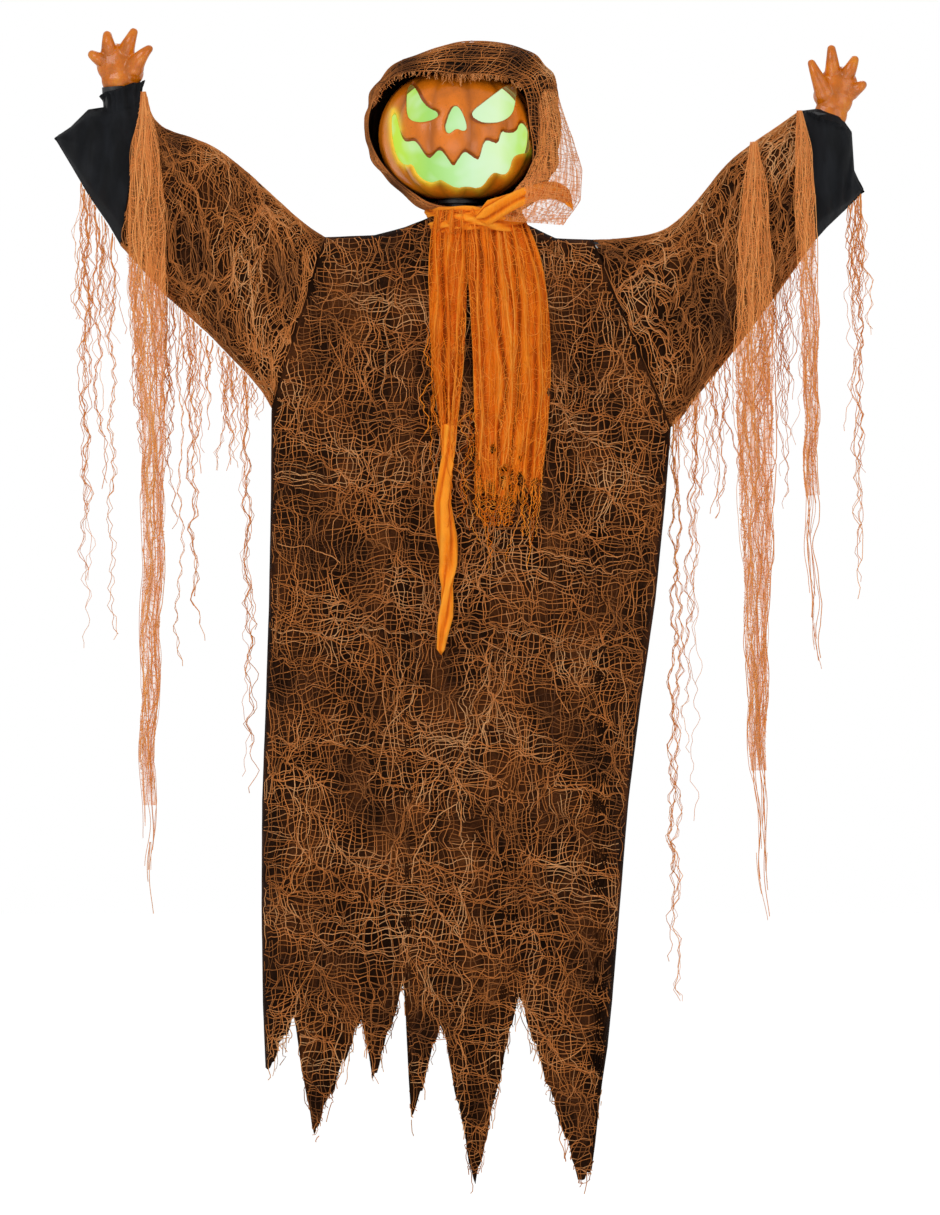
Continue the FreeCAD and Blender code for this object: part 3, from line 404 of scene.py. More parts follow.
# ---- materials ---------------------------------------------------------------------
class Shader:
    """A material under construction: short calls that add and join its nodes."""

    def __init__(self, name):
        self.material = bpy.data.materials.new(name)
        self.material.use_nodes = True
        self.tree = self.material.node_tree
        self.tree.nodes.clear()
        self.out = self.tree.nodes.new("ShaderNodeOutputMaterial")
        self.place = None

    def node(self, kind, **settings):
        made = self.tree.nodes.new(kind)
        for key, value in settings.items():
            setattr(made, key, value)
        return made

    def join(self, a, b):
        self.tree.links.new(a, b)

    def coords(self, scale=(1, 1, 1)):
        if self.place is None:
            self.place = self.node("ShaderNodeTexCoord").outputs["Object"]
        mapping = self.node("ShaderNodeMapping")
        mapping.inputs["Scale"].default_value = scale
        self.join(self.place, mapping.inputs["Vector"])
        return mapping.outputs["Vector"]

    def noise(self, size, stretch=(1, 1, 1), detail=3.0, rough=0.55):
        """Noise whose features are about size metres across."""
        made = self.node("ShaderNodeTexNoise")
        made.inputs["Scale"].default_value = 1.0 / size
        made.inputs["Detail"].default_value = detail
        made.inputs["Roughness"].default_value = rough
        self.join(self.coords(stretch), made.inputs["Vector"])
        return made.outputs["Fac"]

    def attribute(self, name):
        return self.node("ShaderNodeAttribute", attribute_name=name).outputs["Fac"]

    def ramp(self, factor, stops):
        made = self.node("ShaderNodeValToRGB")
        while len(made.color_ramp.elements) < len(stops):
            made.color_ramp.elements.new(0.5)
        for element, (at, colour) in zip(made.color_ramp.elements, stops):
            element.position = at
            element.color = (*colour, 1.0) if len(colour) == 3 else colour
        self.join(factor, made.inputs["Fac"])
        return made.outputs["Color"]

    def mix(self, factor, a, b, how="MIX"):
        made = self.node("ShaderNodeMix", data_type="RGBA", blend_type=how)
        for socket, value in ((made.inputs["Factor"], factor), (made.inputs["A"], a), (made.inputs["B"], b)):
            if isinstance(value, (int, float)):
                socket.default_value = value
            elif isinstance(value, (tuple, list)):
                socket.default_value = (*value[:3], 1.0)
            else:
                self.join(value, socket)
        return made.outputs["Result"]

    def sums(self, how, a, b, clamp=False):
        made = self.node("ShaderNodeMath", operation=how, use_clamp=clamp)
        for socket, value in zip(made.inputs, (a, b)):
            if isinstance(value, (int, float)):
                socket.default_value = value
            else:
                self.join(value, socket)
        return made.outputs["Value"]

    def span(self, value, low, high, to_low=0.0, to_high=1.0):
        made = self.node("ShaderNodeMapRange")
        self.join(value, made.inputs["Value"])
        made.inputs["From Min"].default_value, made.inputs["From Max"].default_value = low, high
        made.inputs["To Min"].default_value, made.inputs["To Max"].default_value = to_low, to_high
        return made.outputs["Result"]

    def bump(self, height, depth, strength=0.6):
        made = self.node("ShaderNodeBump")
        made.inputs["Distance"].default_value = depth
        made.inputs["Strength"].default_value = strength
        self.join(height, made.inputs["Height"])
        return made.outputs["Normal"]

    def finish(self, colour, roughness=0.6, normal=None, **sockets):
        """The surface shader: colour and roughness may be sockets, the rest are plain values."""
        body = self.node("ShaderNodeBsdfPrincipled")
        for socket, value in (("Base Color", colour), ("Roughness", roughness)):
            if isinstance(value, tuple):
                body.inputs[socket].default_value = (*value[:3], 1.0)
            elif isinstance(value, (int, float)):
                body.inputs[socket].default_value = value
            else:
                self.join(value, body.inputs[socket])
        if normal is not None:
            self.join(normal, body.inputs["Normal"])
        for name, value in sockets.items():
            socket = body.inputs[name.replace("_", " ").title().replace("Ior", "IOR")]
            if hasattr(value, "links"):
                self.join(value, socket)
            else:
                socket.default_value = value
        self.join(body.outputs["BSDF"], self.out.inputs["Surface"])
        return self.material


def scaled(colour, by):
    return tuple(min(c * by, 1.0) for c in colour[:3])


def woven(shader, pitch):
    """A fine plain weave's height, from two crossing bands."""
    bands = []
    for direction in ("X", "Z"):
        band = shader.node("ShaderNodeTexWave", wave_type="BANDS", bands_direction=direction)
        band.inputs["Scale"].default_value = 1.0 / (pitch * 20)
        band.inputs["Distortion"].default_value = 0.6
        shader.join(shader.coords((20, 20, 20)), band.inputs["Vector"])
        bands.append(band.outputs["Fac"])
    return shader.sums("ADD", bands[0], bands[1])


def make_materials():
    """Every finish, by its plain name."""
    cloth, scarf, head = (getattr(bpy.context.scene, name) for name, _ in GROUPS)
    made = {}

    s = Shader("Robe lining")
    blotch = s.noise(0.055, (1, 1, 0.45), 5, 0.62)
    colour = s.ramp(blotch, [(0.30, scaled(cloth.lining, 0.3)), (0.48, tuple(cloth.lining)),
                             (0.62, (0.115, 0.036, 0.011)), (0.75, (0.2, 0.062, 0.014))])
    fuzz = s.noise(0.0022, detail=2)
    colour = s.mix(s.span(fuzz, 0.35, 0.7, 0.0, 0.55), colour, (0.009, 0.004, 0.002))
    made["lining"] = s.finish(colour, 0.93, s.bump(woven(s, 0.0011), 0.0006), specular_ior_level=0.04)

    s = Shader("Brown gauze")
    tint = s.attribute("tint")
    patch = s.noise(0.09, (1, 1, 0.55), 4, 0.6)
    colour = s.ramp(s.sums("ADD", s.sums("MULTIPLY", tint, 0.62), s.sums("MULTIPLY", patch, 0.5)),
                    [(0.22, (0.085, 0.032, 0.014)), (0.42, tuple(cloth.gauze)),
                     (0.63, tuple(cloth.gauze_bright)), (0.86, (0.90, 0.47, 0.20))])
    fibre = s.noise(0.0013, detail=1)
    colour = s.mix(s.span(fibre, 0.3, 0.75, 0.0, 0.45), colour, (0.16, 0.055, 0.018))
    made["gauze"] = s.finish(colour, 0.9, s.bump(s.noise(0.0007), 0.0003), specular_ior_level=0.08)

    s = Shader("Loose gauze strands")
    tint = s.attribute("tint")
    colour = s.ramp(s.sums("ADD", s.sums("MULTIPLY", tint, 0.7), s.sums("MULTIPLY", s.noise(0.04), 0.3)),
                    [(0.1, (0.50, 0.13, 0.02)), (0.45, tuple(scarf.sheer)), (0.9, (0.95, 0.46, 0.16))])
    made["strand"] = s.finish(colour, 0.85, s.bump(s.noise(0.0006), 0.0003), specular_ior_level=0.1)

    s = Shader("Sheer gauze film")
    colour = s.mix(s.noise(0.03, (1, 1, 0.2)), scaled(scarf.sheer, 0.8), scaled(scarf.sheer, 1.15))
    strands = s.noise(0.0035, (1, 1, 0.035), 2, 0.6)
    cross = s.noise(0.0030, (0.12, 1, 1), 2, 0.6)
    open_share = s.sums("MAXIMUM", s.span(strands, 0.42, 0.60), s.span(cross, 0.52, 0.66))
    made["film"] = s.finish(colour, 0.9, None, specular_ior_level=0.05,
                            alpha=s.span(open_share, 0, 1, 0.16, 0.85))

    s = Shader("Scarf gauze")
    # Painted light and shade: the fold attribute is low in the troughs of the folds, which get the dark
    # painted shade, and high on their ridges, which get a painted highlight.
    fold = s.attribute("fold")
    streak = s.noise(0.03, (1, 1, 0.3), 4, 0.6)
    colour = s.ramp(s.sums("ADD", s.sums("MULTIPLY", fold, 0.75), s.sums("MULTIPLY", streak, 0.35)),
                    [(0.16, scaled(scarf.deep, 0.35)), (0.34, tuple(scarf.deep)), (0.55, tuple(scarf.orange)),
                     (0.95, (0.98, 0.36, 0.03))])
    thread = s.noise(0.0022, (1, 1, 0.06), 2, 0.5)
    colour = s.mix(s.span(thread, 0.52, 0.68, 0.0, 0.3), colour, (0.92, 0.34, 0.05))
    height = s.sums("ADD", thread, s.noise(0.0016, (0.15, 1, 1), 2))
    made["scarf"] = s.finish(colour, 0.85, s.bump(height, 0.0012, 0.8), specular_ior_level=0.08)

    s = Shader("Scarf threads")
    colour = s.ramp(s.attribute("tint"), [(0.0, scaled(scarf.deep, 0.9)), (0.5, tuple(scarf.orange)),
                                          (1.0, (1.0, 0.40, 0.06))])
    made["scarf_thread"] = s.finish(colour, 0.8, s.bump(s.noise(0.0007), 0.0003), specular_ior_level=0.08)

    s = Shader("Black cuff cloth")
    wisp = s.noise(0.02, (1, 1, 0.3), 3)
    colour = s.mix(s.span(wisp, 0.4, 0.7), tuple(cloth.cuff), scaled(cloth.cuff, 2.6))
    made["cuff"] = s.finish(colour, 0.6, s.bump(woven(s, 0.0008), 0.0004), specular_ior_level=0.16)

    s = Shader("Hood lining")
    colour = s.mix(s.span(s.noise(0.03, (1, 1, 0.5), 4), 0.4, 0.75), (0.007, 0.005, 0.004),
                   (0.10, 0.036, 0.012))
    made["hood"] = s.finish(colour, 0.9, s.bump(woven(s, 0.001), 0.0005), specular_ior_level=0.05)

    s = Shader("Pumpkin shell")
    mottle = s.noise(0.045, (1, 1, 0.5), 5, 0.6)
    colour = s.ramp(mottle, [(0.28, scaled(head.shell, 0.62)), (0.5, tuple(head.shell)),
                             (0.72, scaled(head.shell, 1.28))])
    # Painted shade: the grooves between the lobes are darkened.
    groove = s.attribute("groove")
    colour = s.mix(s.sums("MULTIPLY", groove, 0.55), colour, scaled(head.shell, 0.35))
    # Painted shade: the walls of the face cuts are darkened to deep brown.
    edge = s.attribute("cut")
    colour = s.mix(s.sums("MULTIPLY", edge, 0.75), colour, (0.20, 0.036, 0.004))
    fleck = s.noise(0.0035, detail=2)
    colour = s.mix(s.span(fleck, 0.62, 0.75, 0.0, 0.5), colour, scaled(head.shell, 0.5))
    spill = s.attribute("glow")
    height = s.sums("ADD", s.sums("MULTIPLY", s.noise(0.018, (1, 1, 0.4)), 1.0),
                    s.sums("MULTIPLY", s.noise(0.0024), 0.25))
    made["pumpkin"] = s.finish(colour, s.span(s.noise(0.02), 0.3, 0.7, 0.26, 0.40),
                               s.bump(height, 0.0022, 0.35),
                               coat_weight=0.18, coat_roughness=0.16, specular_ior_level=0.32,
                               emission_color=(0.62, 0.90, 0.05, 1.0),
                               emission_strength=s.sums("MULTIPLY", spill, 0.62 * head.glow))

    s = Shader("Lit diffuser")
    split = s.node("ShaderNodeSeparateXYZ")
    s.join(s.coords(), split.inputs["Vector"])
    side = s.span(split.outputs["X"], -0.115, 0.115)
    colour = s.ramp(side, [(0.0, (0.62, 0.84, 0.06)), (0.14, (0.50, 0.80, 0.10)), (0.30, (0.38, 0.74, 0.16)),
                           (0.47, (0.50, 0.86, 0.34)), (0.60, (0.66, 0.93, 0.58)), (0.78, (0.73, 0.95, 0.55)),
                           (0.92, (0.52, 0.86, 0.20)), (1.0, (0.55, 0.82, 0.12))])
    cloud = s.noise(0.035, detail=1)
    colour = s.mix(s.span(cloud, 0.45, 0.75, 0.0, 0.4), colour, (0.74, 0.95, 0.70))
    made["liner"] = s.finish((0.03, 0.04, 0.02), 0.6, None, emission_color=colour, specular_ior_level=0.1,
                             emission_strength=0.95 * head.glow)

    s = Shader("Moulded hand")
    mottle = s.noise(0.02, (1, 1, 0.7), 4)
    colour = s.ramp(mottle, [(0.3, scaled(head.hand, 0.68)), (0.52, tuple(head.hand)),
                             (0.75, (0.76, 0.25, 0.010))])
    made["hand"] = s.finish(colour, s.span(s.noise(0.012), 0.3, 0.7, 0.2, 0.34),
                            s.bump(s.noise(0.006), 0.0012, 0.35),
                            coat_weight=0.3, coat_roughness=0.1, subsurface_weight=0.12,
                            subsurface_scale=0.008, specular_ior_level=0.35)

    for name, base, rough, metal, size in (
            ("steel", (0.52, 0.52, 0.50), 0.34, 1.0, 0.004),
            ("frame_tube", (0.05, 0.05, 0.052), 0.42, 0.6, 0.006),
            ("black_plastic", (0.016, 0.016, 0.017), 0.45, 0.0, 0.002),
            ("red_plastic", (0.42, 0.02, 0.015), 0.4, 0.0, 0.002),
            ("board_green", (0.02, 0.14, 0.045), 0.4, 0.0, 0.004),
            ("wire_black", (0.012, 0.012, 0.013), 0.5, 0.0, 0.003),
            ("cell_jacket", (0.045, 0.05, 0.06), 0.3, 0.4, 0.01),
            ("foam", (0.09, 0.088, 0.082), 0.95, 0.0, 0.003)):
        s = Shader(name.replace("_", " ").capitalize())
        wear = s.noise(size, detail=3)
        colour = s.mix(wear, scaled(base, 0.75), scaled(base, 1.25))
        made[name] = s.finish(colour, s.span(wear, 0.3, 0.7, rough * 0.85, min(rough * 1.2, 1.0)),
                              s.bump(s.noise(size * 0.3), 0.0002, 0.4), metallic=metal)
    s = Shader("Light lens")
    made["led_lens"] = s.finish(s.mix(s.noise(0.002), (0.8, 0.85, 0.6), (0.9, 0.95, 0.7)), 0.2, None,
                                emission_color=(0.85, 1.0, 0.7, 1.0), emission_strength=1.0)
    return made


FINISH = {}


# ---- cloth faces -------------------------------------------------------------------
def robe_edges(z):
    left = np.interp(-z, [-a * MM for a, _ in ROBE_LEFT] + [1.9], [x * MM for _, x in ROBE_LEFT] + [-0.30])
    right = np.interp(-z, [-a * MM for a, _ in ROBE_RIGHT] + [1.9], [x * MM for _, x in ROBE_RIGHT] + [0.222])
    return left, right


def hem_at(x):
    line = metres(HEM)
    return np.interp(x, line[:, 0], line[:, 1]) + 0.006 * np.sin(x * 260) + 0.004 * np.sin(x * 611 + 1)


def top_at(x):
    line = metres(NECKLINE)
    return np.interp(x, line[:, 0], line[:, 1])


def robe_face(name, side, columns=150, rows=210):
    """One face of the robe: a grid from the neckline to the torn hem."""
    u, v = np.meshgrid(np.linspace(0, 1, columns), np.linspace(0, 1, rows))
    z = -0.30 - 1.3 * v
    x = np.zeros_like(u)
    for _ in range(6):
        left, right = robe_edges(z)
        x = left + (right - left) * u
        top, low = top_at(x), hem_at(x)
        z = top + (low - top) * v
    y = side * half_depth(x, z, side) + 0.004 * waves(9, 0.06, x, z)
    y = y + (-0.004 if side < 0 else 0.004)
    points = np.stack([x, y, z], -1).reshape(-1, 3)
    faces = grid_faces(rows, columns)
    if side > 0:
        faces = [f[::-1] for f in faces]
    piece = mesh_piece(name, points, faces, FINISH["lining"])
    return thicken(piece, 0.0012)


def sleeve_ring(side, share, around, lift=0.0):
    """Rings of a sleeve: share runs from armhole to cuff seam, around goes once round the arm."""
    top = along(rounded(metres(SLEEVE_TOP[side])), share)
    foot = along(metres(SLEEVE_FOOT[side]), share)
    return ring_between(top, foot, around, lift)


def cuff_edges(side, share):
    if side == "left":
        upper = metres([(-500, -66), (-533, -74), (-566, -88), (-592, -92), (-620, -120), (-645, -137)])
        lower = metres([(-540, -309), (-541, -308), (-560, -275), (-590, -232), (-618, -184), (-645, -139)])
    else:
        upper = metres([(549, -94), (580, -90), (610, -100), (630, -128), (634, -190), (649, -222)])
        lower = metres([(571, -301), (573, -300), (590, -281), (612, -260), (632, -241), (649, -224)])
    return along(upper, share), along(lower, share)


def ring_between(top, foot, around, lift):
    """Points round a flat tube between two edge lines, on the shared front and back fields."""
    w = (1 - np.cos(around)) / 2
    x = top[..., 0] * (1 - w) + foot[..., 0] * w
    z = top[..., 1] * (1 - w) + foot[..., 1] * w
    front = np.sin(around) > 0
    deep = np.where(front, half_depth(x, z, -1), half_depth(x, z, 1))
    y = np.where(front, -1, 1) * (deep * np.minimum(1, np.abs(np.sin(around)) * 1.6) + lift)
    return np.stack([x, y, z], -1)


def sleeve_face(name, side, rows=90, columns=96):
    share, around = np.meshgrid(np.linspace(-0.0, 1, rows),
                                np.linspace(0, 2 * np.pi, columns, endpoint=False),
                                indexing="ij")
    points = sleeve_ring(side, share, around)
    piece = mesh_piece(name, points.reshape(-1, 3), grid_faces(rows, columns, closed=True), FINISH["lining"])
    outward(piece)
    return thicken(piece, 0.0011, -1.0)


def outward(piece):
    """Turns an open or closed shape's faces to point away from its middle."""
    mesh = piece.data
    work = bmesh.new()
    work.from_mesh(mesh)
    bmesh.ops.remove_doubles(work, verts=work.verts, dist=1e-6)
    bmesh.ops.recalc_face_normals(work, faces=work.faces)
    work.to_mesh(mesh)
    work.free()


def arm_centre(side):
    return ("arm_left", -1) if side == "left" else ("arm_right", 1)


def blend_shoulder(piece, side):
    """Bakes the piece's placement into its mesh."""
    arm, sign = arm_centre(side)
    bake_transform(piece)


class SCARECROW_OT_robe(bpy.types.Operator):
    """Build the black-brown robe lining, front and back, down to its torn hem"""

    bl_idname = "scarecrow.robe"
    bl_label = "Robe"

    def execute(self, context):
        for name, node, side in (("robe_lining_front", "robe_front", -1),
                                 ("robe_lining_back", "robe_back", 1)):
            piece = robe_face(name, side)
            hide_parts(node)
            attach(piece, "torso")
        return {"FINISHED"}


class SCARECROW_OT_sleeves(bpy.types.Operator):
    """Build the two sleeves, the black cuffs, their gathered necks and the padding under the cloth"""

    bl_idname = "scarecrow.sleeves"
    bl_label = "Sleeves and cuffs"

    def execute(self, context):
        for side in ("left", "right"):
            arm, _ = arm_centre(side)
            sleeve = sleeve_face("sleeve_lining_" + side, side)
            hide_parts("sleeve_" + side)
            blend_shoulder(sleeve, side)
            cuff = cuff_piece(side)
            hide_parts("cuff_" + side)
            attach(cuff, arm)
            neck = neck_piece(side)
            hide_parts("wrist_tie_" + side)
            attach(neck, arm)
            pad = arm_pad(side)
            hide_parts("arm_pad_" + side)
            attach(pad, arm)
            if side == "right":
                rod = path_tube("arm_rod_right", ARM_PATH[side], np.full(120, 0.0065), 20,
                                FINISH["frame_tube"])
                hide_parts("arm_tube_right")
                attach(rod, arm)
        return {"FINISHED"}


def cuff_piece(side, rows=56, columns=96):
    share, around = np.meshgrid(np.linspace(0, 1, rows) ** 1.15,
                                np.linspace(0, 2 * np.pi, columns, endpoint=False),
                                indexing="ij")
    top, foot = cuff_edges(side, share)
    points = ring_between(top, foot, around, 0.0008)
    pleat = 0.0035 * np.sin(share * 26 + 2.2 * np.sin(around)) * np.sin(np.pi * share)
    points[..., 1] *= 1 + pleat * 30
    piece = mesh_piece("cuff_cloth_" + side, points.reshape(-1, 3), grid_faces(rows, columns, closed=True),
                       FINISH["cuff"])
    outward(piece)
    return thicken(piece, 0.0012, -1.0)


WRIST = {"left": (Vector((-0.5497, 0, -0.060)), Vector((-0.0698, 0, 0.9976))),
         "right": (Vector((0.5783, 0, -0.1024)), Vector((0.1908, 0, 0.9816)))}


def neck_piece(side, rows=26, columns=120):
    """The cuff's gathered neck round the hand, drawn in where its cord ties it and frilled above it; the cord
    itself is not built.
    """
    at, axis = WRIST[side]
    lean, shift = (-0.25, 0.012) if side == "left" else (0.2, 0.013)
    points = []
    for r in range(rows):
        t = r / (rows - 1)
        height = -0.046 + 0.044 * t
        narrow = 0.0315 - 0.002 * math.exp(-(((t - 0.62) / 0.16) ** 2)) + 0.004 * max(0, t - 0.8) / 0.2
        for c in range(columns):
            a = 2 * math.pi * c / columns
            pleat = 0.0016 * math.sin(a * 17 + 2 * math.sin(a * 3)) * (0.4 + t)
            radius = narrow + pleat
            x, y = radius * math.cos(a) + shift, 0.86 * radius * math.sin(a)
            up = height - lean * x * (0.4 + 0.6 * t) + 0.0012 * math.sin(5 * a + 1) * t
            points.append(at + Vector((x * axis.z + up * axis.x, y, up * axis.z - x * axis.x)))
    piece = mesh_piece("cuff_neck_" + side, points, grid_faces(rows, columns, closed=True), FINISH["cuff"])
    outward(piece)
    return thicken(piece, 0.0012, 0.0)


ARM_PATH = {
    "left": [(-218, -315), (-270, -282), (-330, -245), (-420, -189), (-500, -140), (-537, -113), (-549, -88),
             (-550, -62)],
    "right": [(218, -315), (262, -310), (330, -301), (385, -268), (432, -218), (500, -182), (552, -160),
              (570, -134),
              (578, -104)],
}


def path_tube(name, path, radii, columns, material, ends=True):
    """A round tube along a front-view path, its radius given along the way."""
    rows = len(radii)
    centre = along(rounded(metres(path), 3), np.linspace(0, 1, rows))
    way = np.gradient(centre, axis=0)
    way /= np.linalg.norm(way, axis=1, keepdims=True)
    points = []
    for k in range(rows):
        for c in range(columns):
            a = 2 * math.pi * c / columns
            radius = radii[k] * (1 + (0.05 * math.sin(3 * a + k * 0.2) if radii[k] > 0.008 else 0))
            points.append((centre[k, 0] - way[k, 1] * radius * math.cos(a), radius * math.sin(a),
                           centre[k, 1] + way[k, 0] * radius * math.cos(a)))
    size = len(points)
    faces = grid_faces(rows, columns, closed=True)
    if ends:
        points += [(centre[0, 0], 0, centre[0, 1]), (centre[-1, 0], 0, centre[-1, 1])]
        faces += [(c, (c + 1) % columns, size) for c in range(columns)]
        faces += far_fan(rows, columns, size + 1)
    piece = mesh_piece(name, points, faces, material, math.radians(50))
    outward(piece)
    return piece


def arm_pad(side, rows=90, columns=36):
    """Soft wadding round the arm tube, tied at four places, full at the elbow."""
    t = np.linspace(0, 1, rows)
    full = 0.0085 + 0.0115 * smooth(t, 0.1, 0.55)
    tied = 1 - 0.2 * sum(np.exp(-(((t - k) / 0.018) ** 2)) for k in (0.2, 0.45, 0.7, 0.92))
    cap = np.sqrt(np.clip(1 - (2 * t - 1) ** 20, 0.0, 1)) + 0.02
    start = 3 if side == "right" else 2
    return path_tube("arm_wadding_" + side, ARM_PATH[side][start:-2], full * tied * cap, columns,
                     FINISH["foam"])


# ---- gauze nets --------------------------------------------------------------------
def wander(x, z, seed):
    """How the gauze's threads are pulled out of line: wide swirls, then small crinkles."""
    share = bpy.context.scene.scarecrow_cloth.crinkle
    dx = dz = 0.0
    for k, (length, size) in enumerate(((0.13, 0.0070), (0.042, 0.0044), (0.017, 0.0021))):
        dx = dx + size * waves(seed + 2 * k, length, x, z, 5)
        dz = dz + size * waves(seed + 2 * k + 1, length, x, z, 5)
    return dx * share, dz * share


def robe_thread(x, z, side, lift, frayed=None):
    y = side * (half_depth(x, z, side) + lift) + 0.004 * waves(9, 0.06, x, z) + (0.004 * side)
    return np.stack([x, y, z], -1)


def robe_net(side, pitch, step, direction, seed):
    """Threads of one direction over one face of the robe, past the hem where they fray."""
    rng = np.random.default_rng(seed)
    lines = []
    if direction == "down":
        z0 = np.arange(-0.24, -1.86, -step)
        starts = np.arange(-0.34, 0.37, pitch)
    else:
        x0 = np.arange(-0.34, 0.37, step)
        starts = np.arange(-0.25, -1.83, -pitch)
    for at in starts:
        at = at + rng.normal(0, pitch * 0.22)
        x, z = (np.full_like(z0, at), z0) if direction == "down" else (x0, np.full_like(x0, at))
        dx, dz = wander(x, z, 100 if side < 0 else 300)
        x, z = x + dx, z + dz
        left, right = robe_edges(z)
        fray = (0.012 + 0.034 * rng.random() ** 2) if direction == "down" else 0.004 + 0.012 * rng.random()
        keep = (x > left + 0.003) & (x < right - 0.003) & (z < top_at(x) - 0.001) & (z > hem_at(x) - fray)
        keep &= z > -1.845
        keep &= waves(seed + 7, 0.05, x, z) > -1.75
        gap = waves(seed + 11, 0.3, at * 40, (z if direction == "down" else x) * 3)
        keep &= gap > -1.7
        lift = 0.0014 + 0.0007 * rng.random() + 0.0012 * (waves(seed + 3, 0.05, x, z) > 0.9)
        points = robe_thread(x, z, side, lift)
        tint = 0.5 + 0.22 * waves(seed + 5, 0.16, x, z) + rng.normal(0, 0.16)
        tint = tint + 0.3 * smooth(hem_at(x) + 0.03 - z, 0, 0.05)
        for part in runs(keep):
            lines.append((points[part], tint[part], 0.75 + 0.5 * rng.random()))
    return lines


def loose_curls(side, count, seed):
    """Pulled threads that lie over the net in long curls."""
    rng = np.random.default_rng(seed)
    lines = []
    for _ in range(count):
        n = int(rng.integers(16, 60))
        heading = rng.uniform(-math.pi, 0) if rng.random() < 0.7 else rng.uniform(0, math.pi)
        turn = np.cumsum(rng.normal(0, 0.16, n))
        x = rng.uniform(-0.28, 0.30) + np.cumsum(0.004 * np.cos(heading + turn))
        z = rng.uniform(-1.62, -0.33) + np.cumsum(0.004 * np.sin(heading + turn))
        left, right = robe_edges(z)
        keep = (x > left + 0.012) & (x < right - 0.012) & (z < top_at(x) - 0.01) & (z > hem_at(x) - 0.01)
        points = robe_thread(x, z, side, 0.0032)
        for part in runs(keep):
            lines.append((points[part], 0.5 + 0.4 * rng.random(), 0.8 + 0.4 * rng.random()))
    return lines


def sleeve_net(side, seed):
    """Threads along and around one sleeve, a little proud of its lining."""
    settings = bpy.context.scene.scarecrow_cloth
    rng = np.random.default_rng(seed)
    length = 0.40
    depth = 0.25
    lines = []
    share = np.linspace(0.0, 0.995, int(length / 0.006))
    for start in np.arange(0, 2 * math.pi, settings.pitch / depth * math.pi / 2):
        start = start + rng.normal(0, 0.006)
        dx, dz = wander(share * length, np.full_like(share, start * depth / 2), seed)
        around = start + dz / depth * 4
        t = np.clip(share + dx / length, 0, 1)
        points = sleeve_ring(side, t, around, 0.0016 + 0.0006 * rng.random())
        keep = waves(seed + 3, 0.05, points[:, 0], points[:, 2]) > -1.7
        tint = 0.5 + 0.22 * waves(seed + 5, 0.16, points[:, 0], points[:, 2]) + rng.normal(0, 0.16)
        for part in runs(keep):
            lines.append((points[part], tint[part], 0.75 + 0.5 * rng.random()))
    around = np.linspace(0, 2 * math.pi, 92)
    for start in np.arange(0.004, 0.99, settings.pitch / length):
        start = start + rng.normal(0, 0.003)
        dx, dz = wander(around * depth / 2, np.full_like(around, start * length), seed + 20)
        t = np.clip(start + dz / length * 1.1, 0, 1)
        points = sleeve_ring(side, t, around + dx / depth * 2, 0.0018 + 0.0006 * rng.random())
        points[-1] = points[0]
        tint = 0.5 + 0.22 * waves(seed + 5, 0.16, points[:, 0], points[:, 2]) + rng.normal(0, 0.16)
        lines.append((points, tint, 0.75 + 0.5 * rng.random()))
    return lines


class SCARECROW_OT_gauze(bpy.types.Operator):
    """Lay the brown gauze over the robe and sleeves, thread by thread"""

    bl_idname = "scarecrow.gauze"
    bl_label = "Brown gauze"

    def execute(self, context):
        settings = context.scene.scarecrow_cloth
        nets = []
        for name, node, side, pitch, step in (("front", "gauze_front", -1, settings.pitch, 0.0062),
                                              ("back", "gauze_back", 1, settings.pitch * 1.2, 0.0078)):
            for direction in ("down", "across"):
                lines = robe_net(side, pitch, step, direction, 21 if direction == "down" else 57)
                if direction == "across":
                    lines += loose_curls(side, 45, 5 + side)
                piece = thread_piece(f"gauze_{name}_{direction}", lines, FINISH["gauze"], settings.thread)
                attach(piece, "torso")
                nets.append(piece)
                if direction == "down":
                    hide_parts(node)
        for side in ("left", "right"):
            piece = thread_piece("gauze_sleeve_" + side, sleeve_net(side, 400 if side == "left" else 500),
                                 FINISH["gauze"], settings.thread)
            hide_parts("sleeve_gauze_" + side)
            blend_shoulder(piece, side)
        return {"FINISHED"}


# ---- hood --------------------------------------------------------------------------
HOOD_CENTRE = (0.0, -0.122)
HOOD_RIM = [(-146, -104), (-145, -148), (-121, -191), (-78, -232), (-34, -257), (40, -262), (104, -246),
            (142, -212), (158, -168), (162, -122), (158, -76), (149, -34), (122, -8), (80, 8), (12, 13),
            (-46, 3),
            (-104, -27), (-134, -62)]
HOOD_MOUTH = [(-141, -104), (-137, -148), (-111, -190), (-68, -228), (-28, -247), (40, -248), (92, -232),
              (114, -194), (118, -156), (113, -122), (109, -84), (98, -58), (70, -46), (34, -42), (-8, -42),
              (-56, -37), (-96, -41), (-127, -70)]
MOUTH_DEPTH = [14, 18, 28, 40, 48, 52, 54, 60, 64, 66, 70, 76, 86, 94, 94, 84, 58, 26]


def loop_at(points, turn):
    """A closed loop's points by turn (0 to 1), smooth, from its corner points."""
    points = np.asarray(points, float)
    size = len(points)
    at = np.asarray(turn) * size
    k = np.floor(at).astype(int)
    t = (at - k)[..., None]
    p = [points[(k + d) % size] for d in (-1, 0, 1, 2)]
    return 0.5 * (2 * p[1] + (p[2] - p[0]) * t + (2 * p[0] - 5 * p[1] + 4 * p[2] - p[3]) * t ** 2
                  + (3 * p[1] - p[0] - 3 * p[2] + p[3]) * t ** 3)


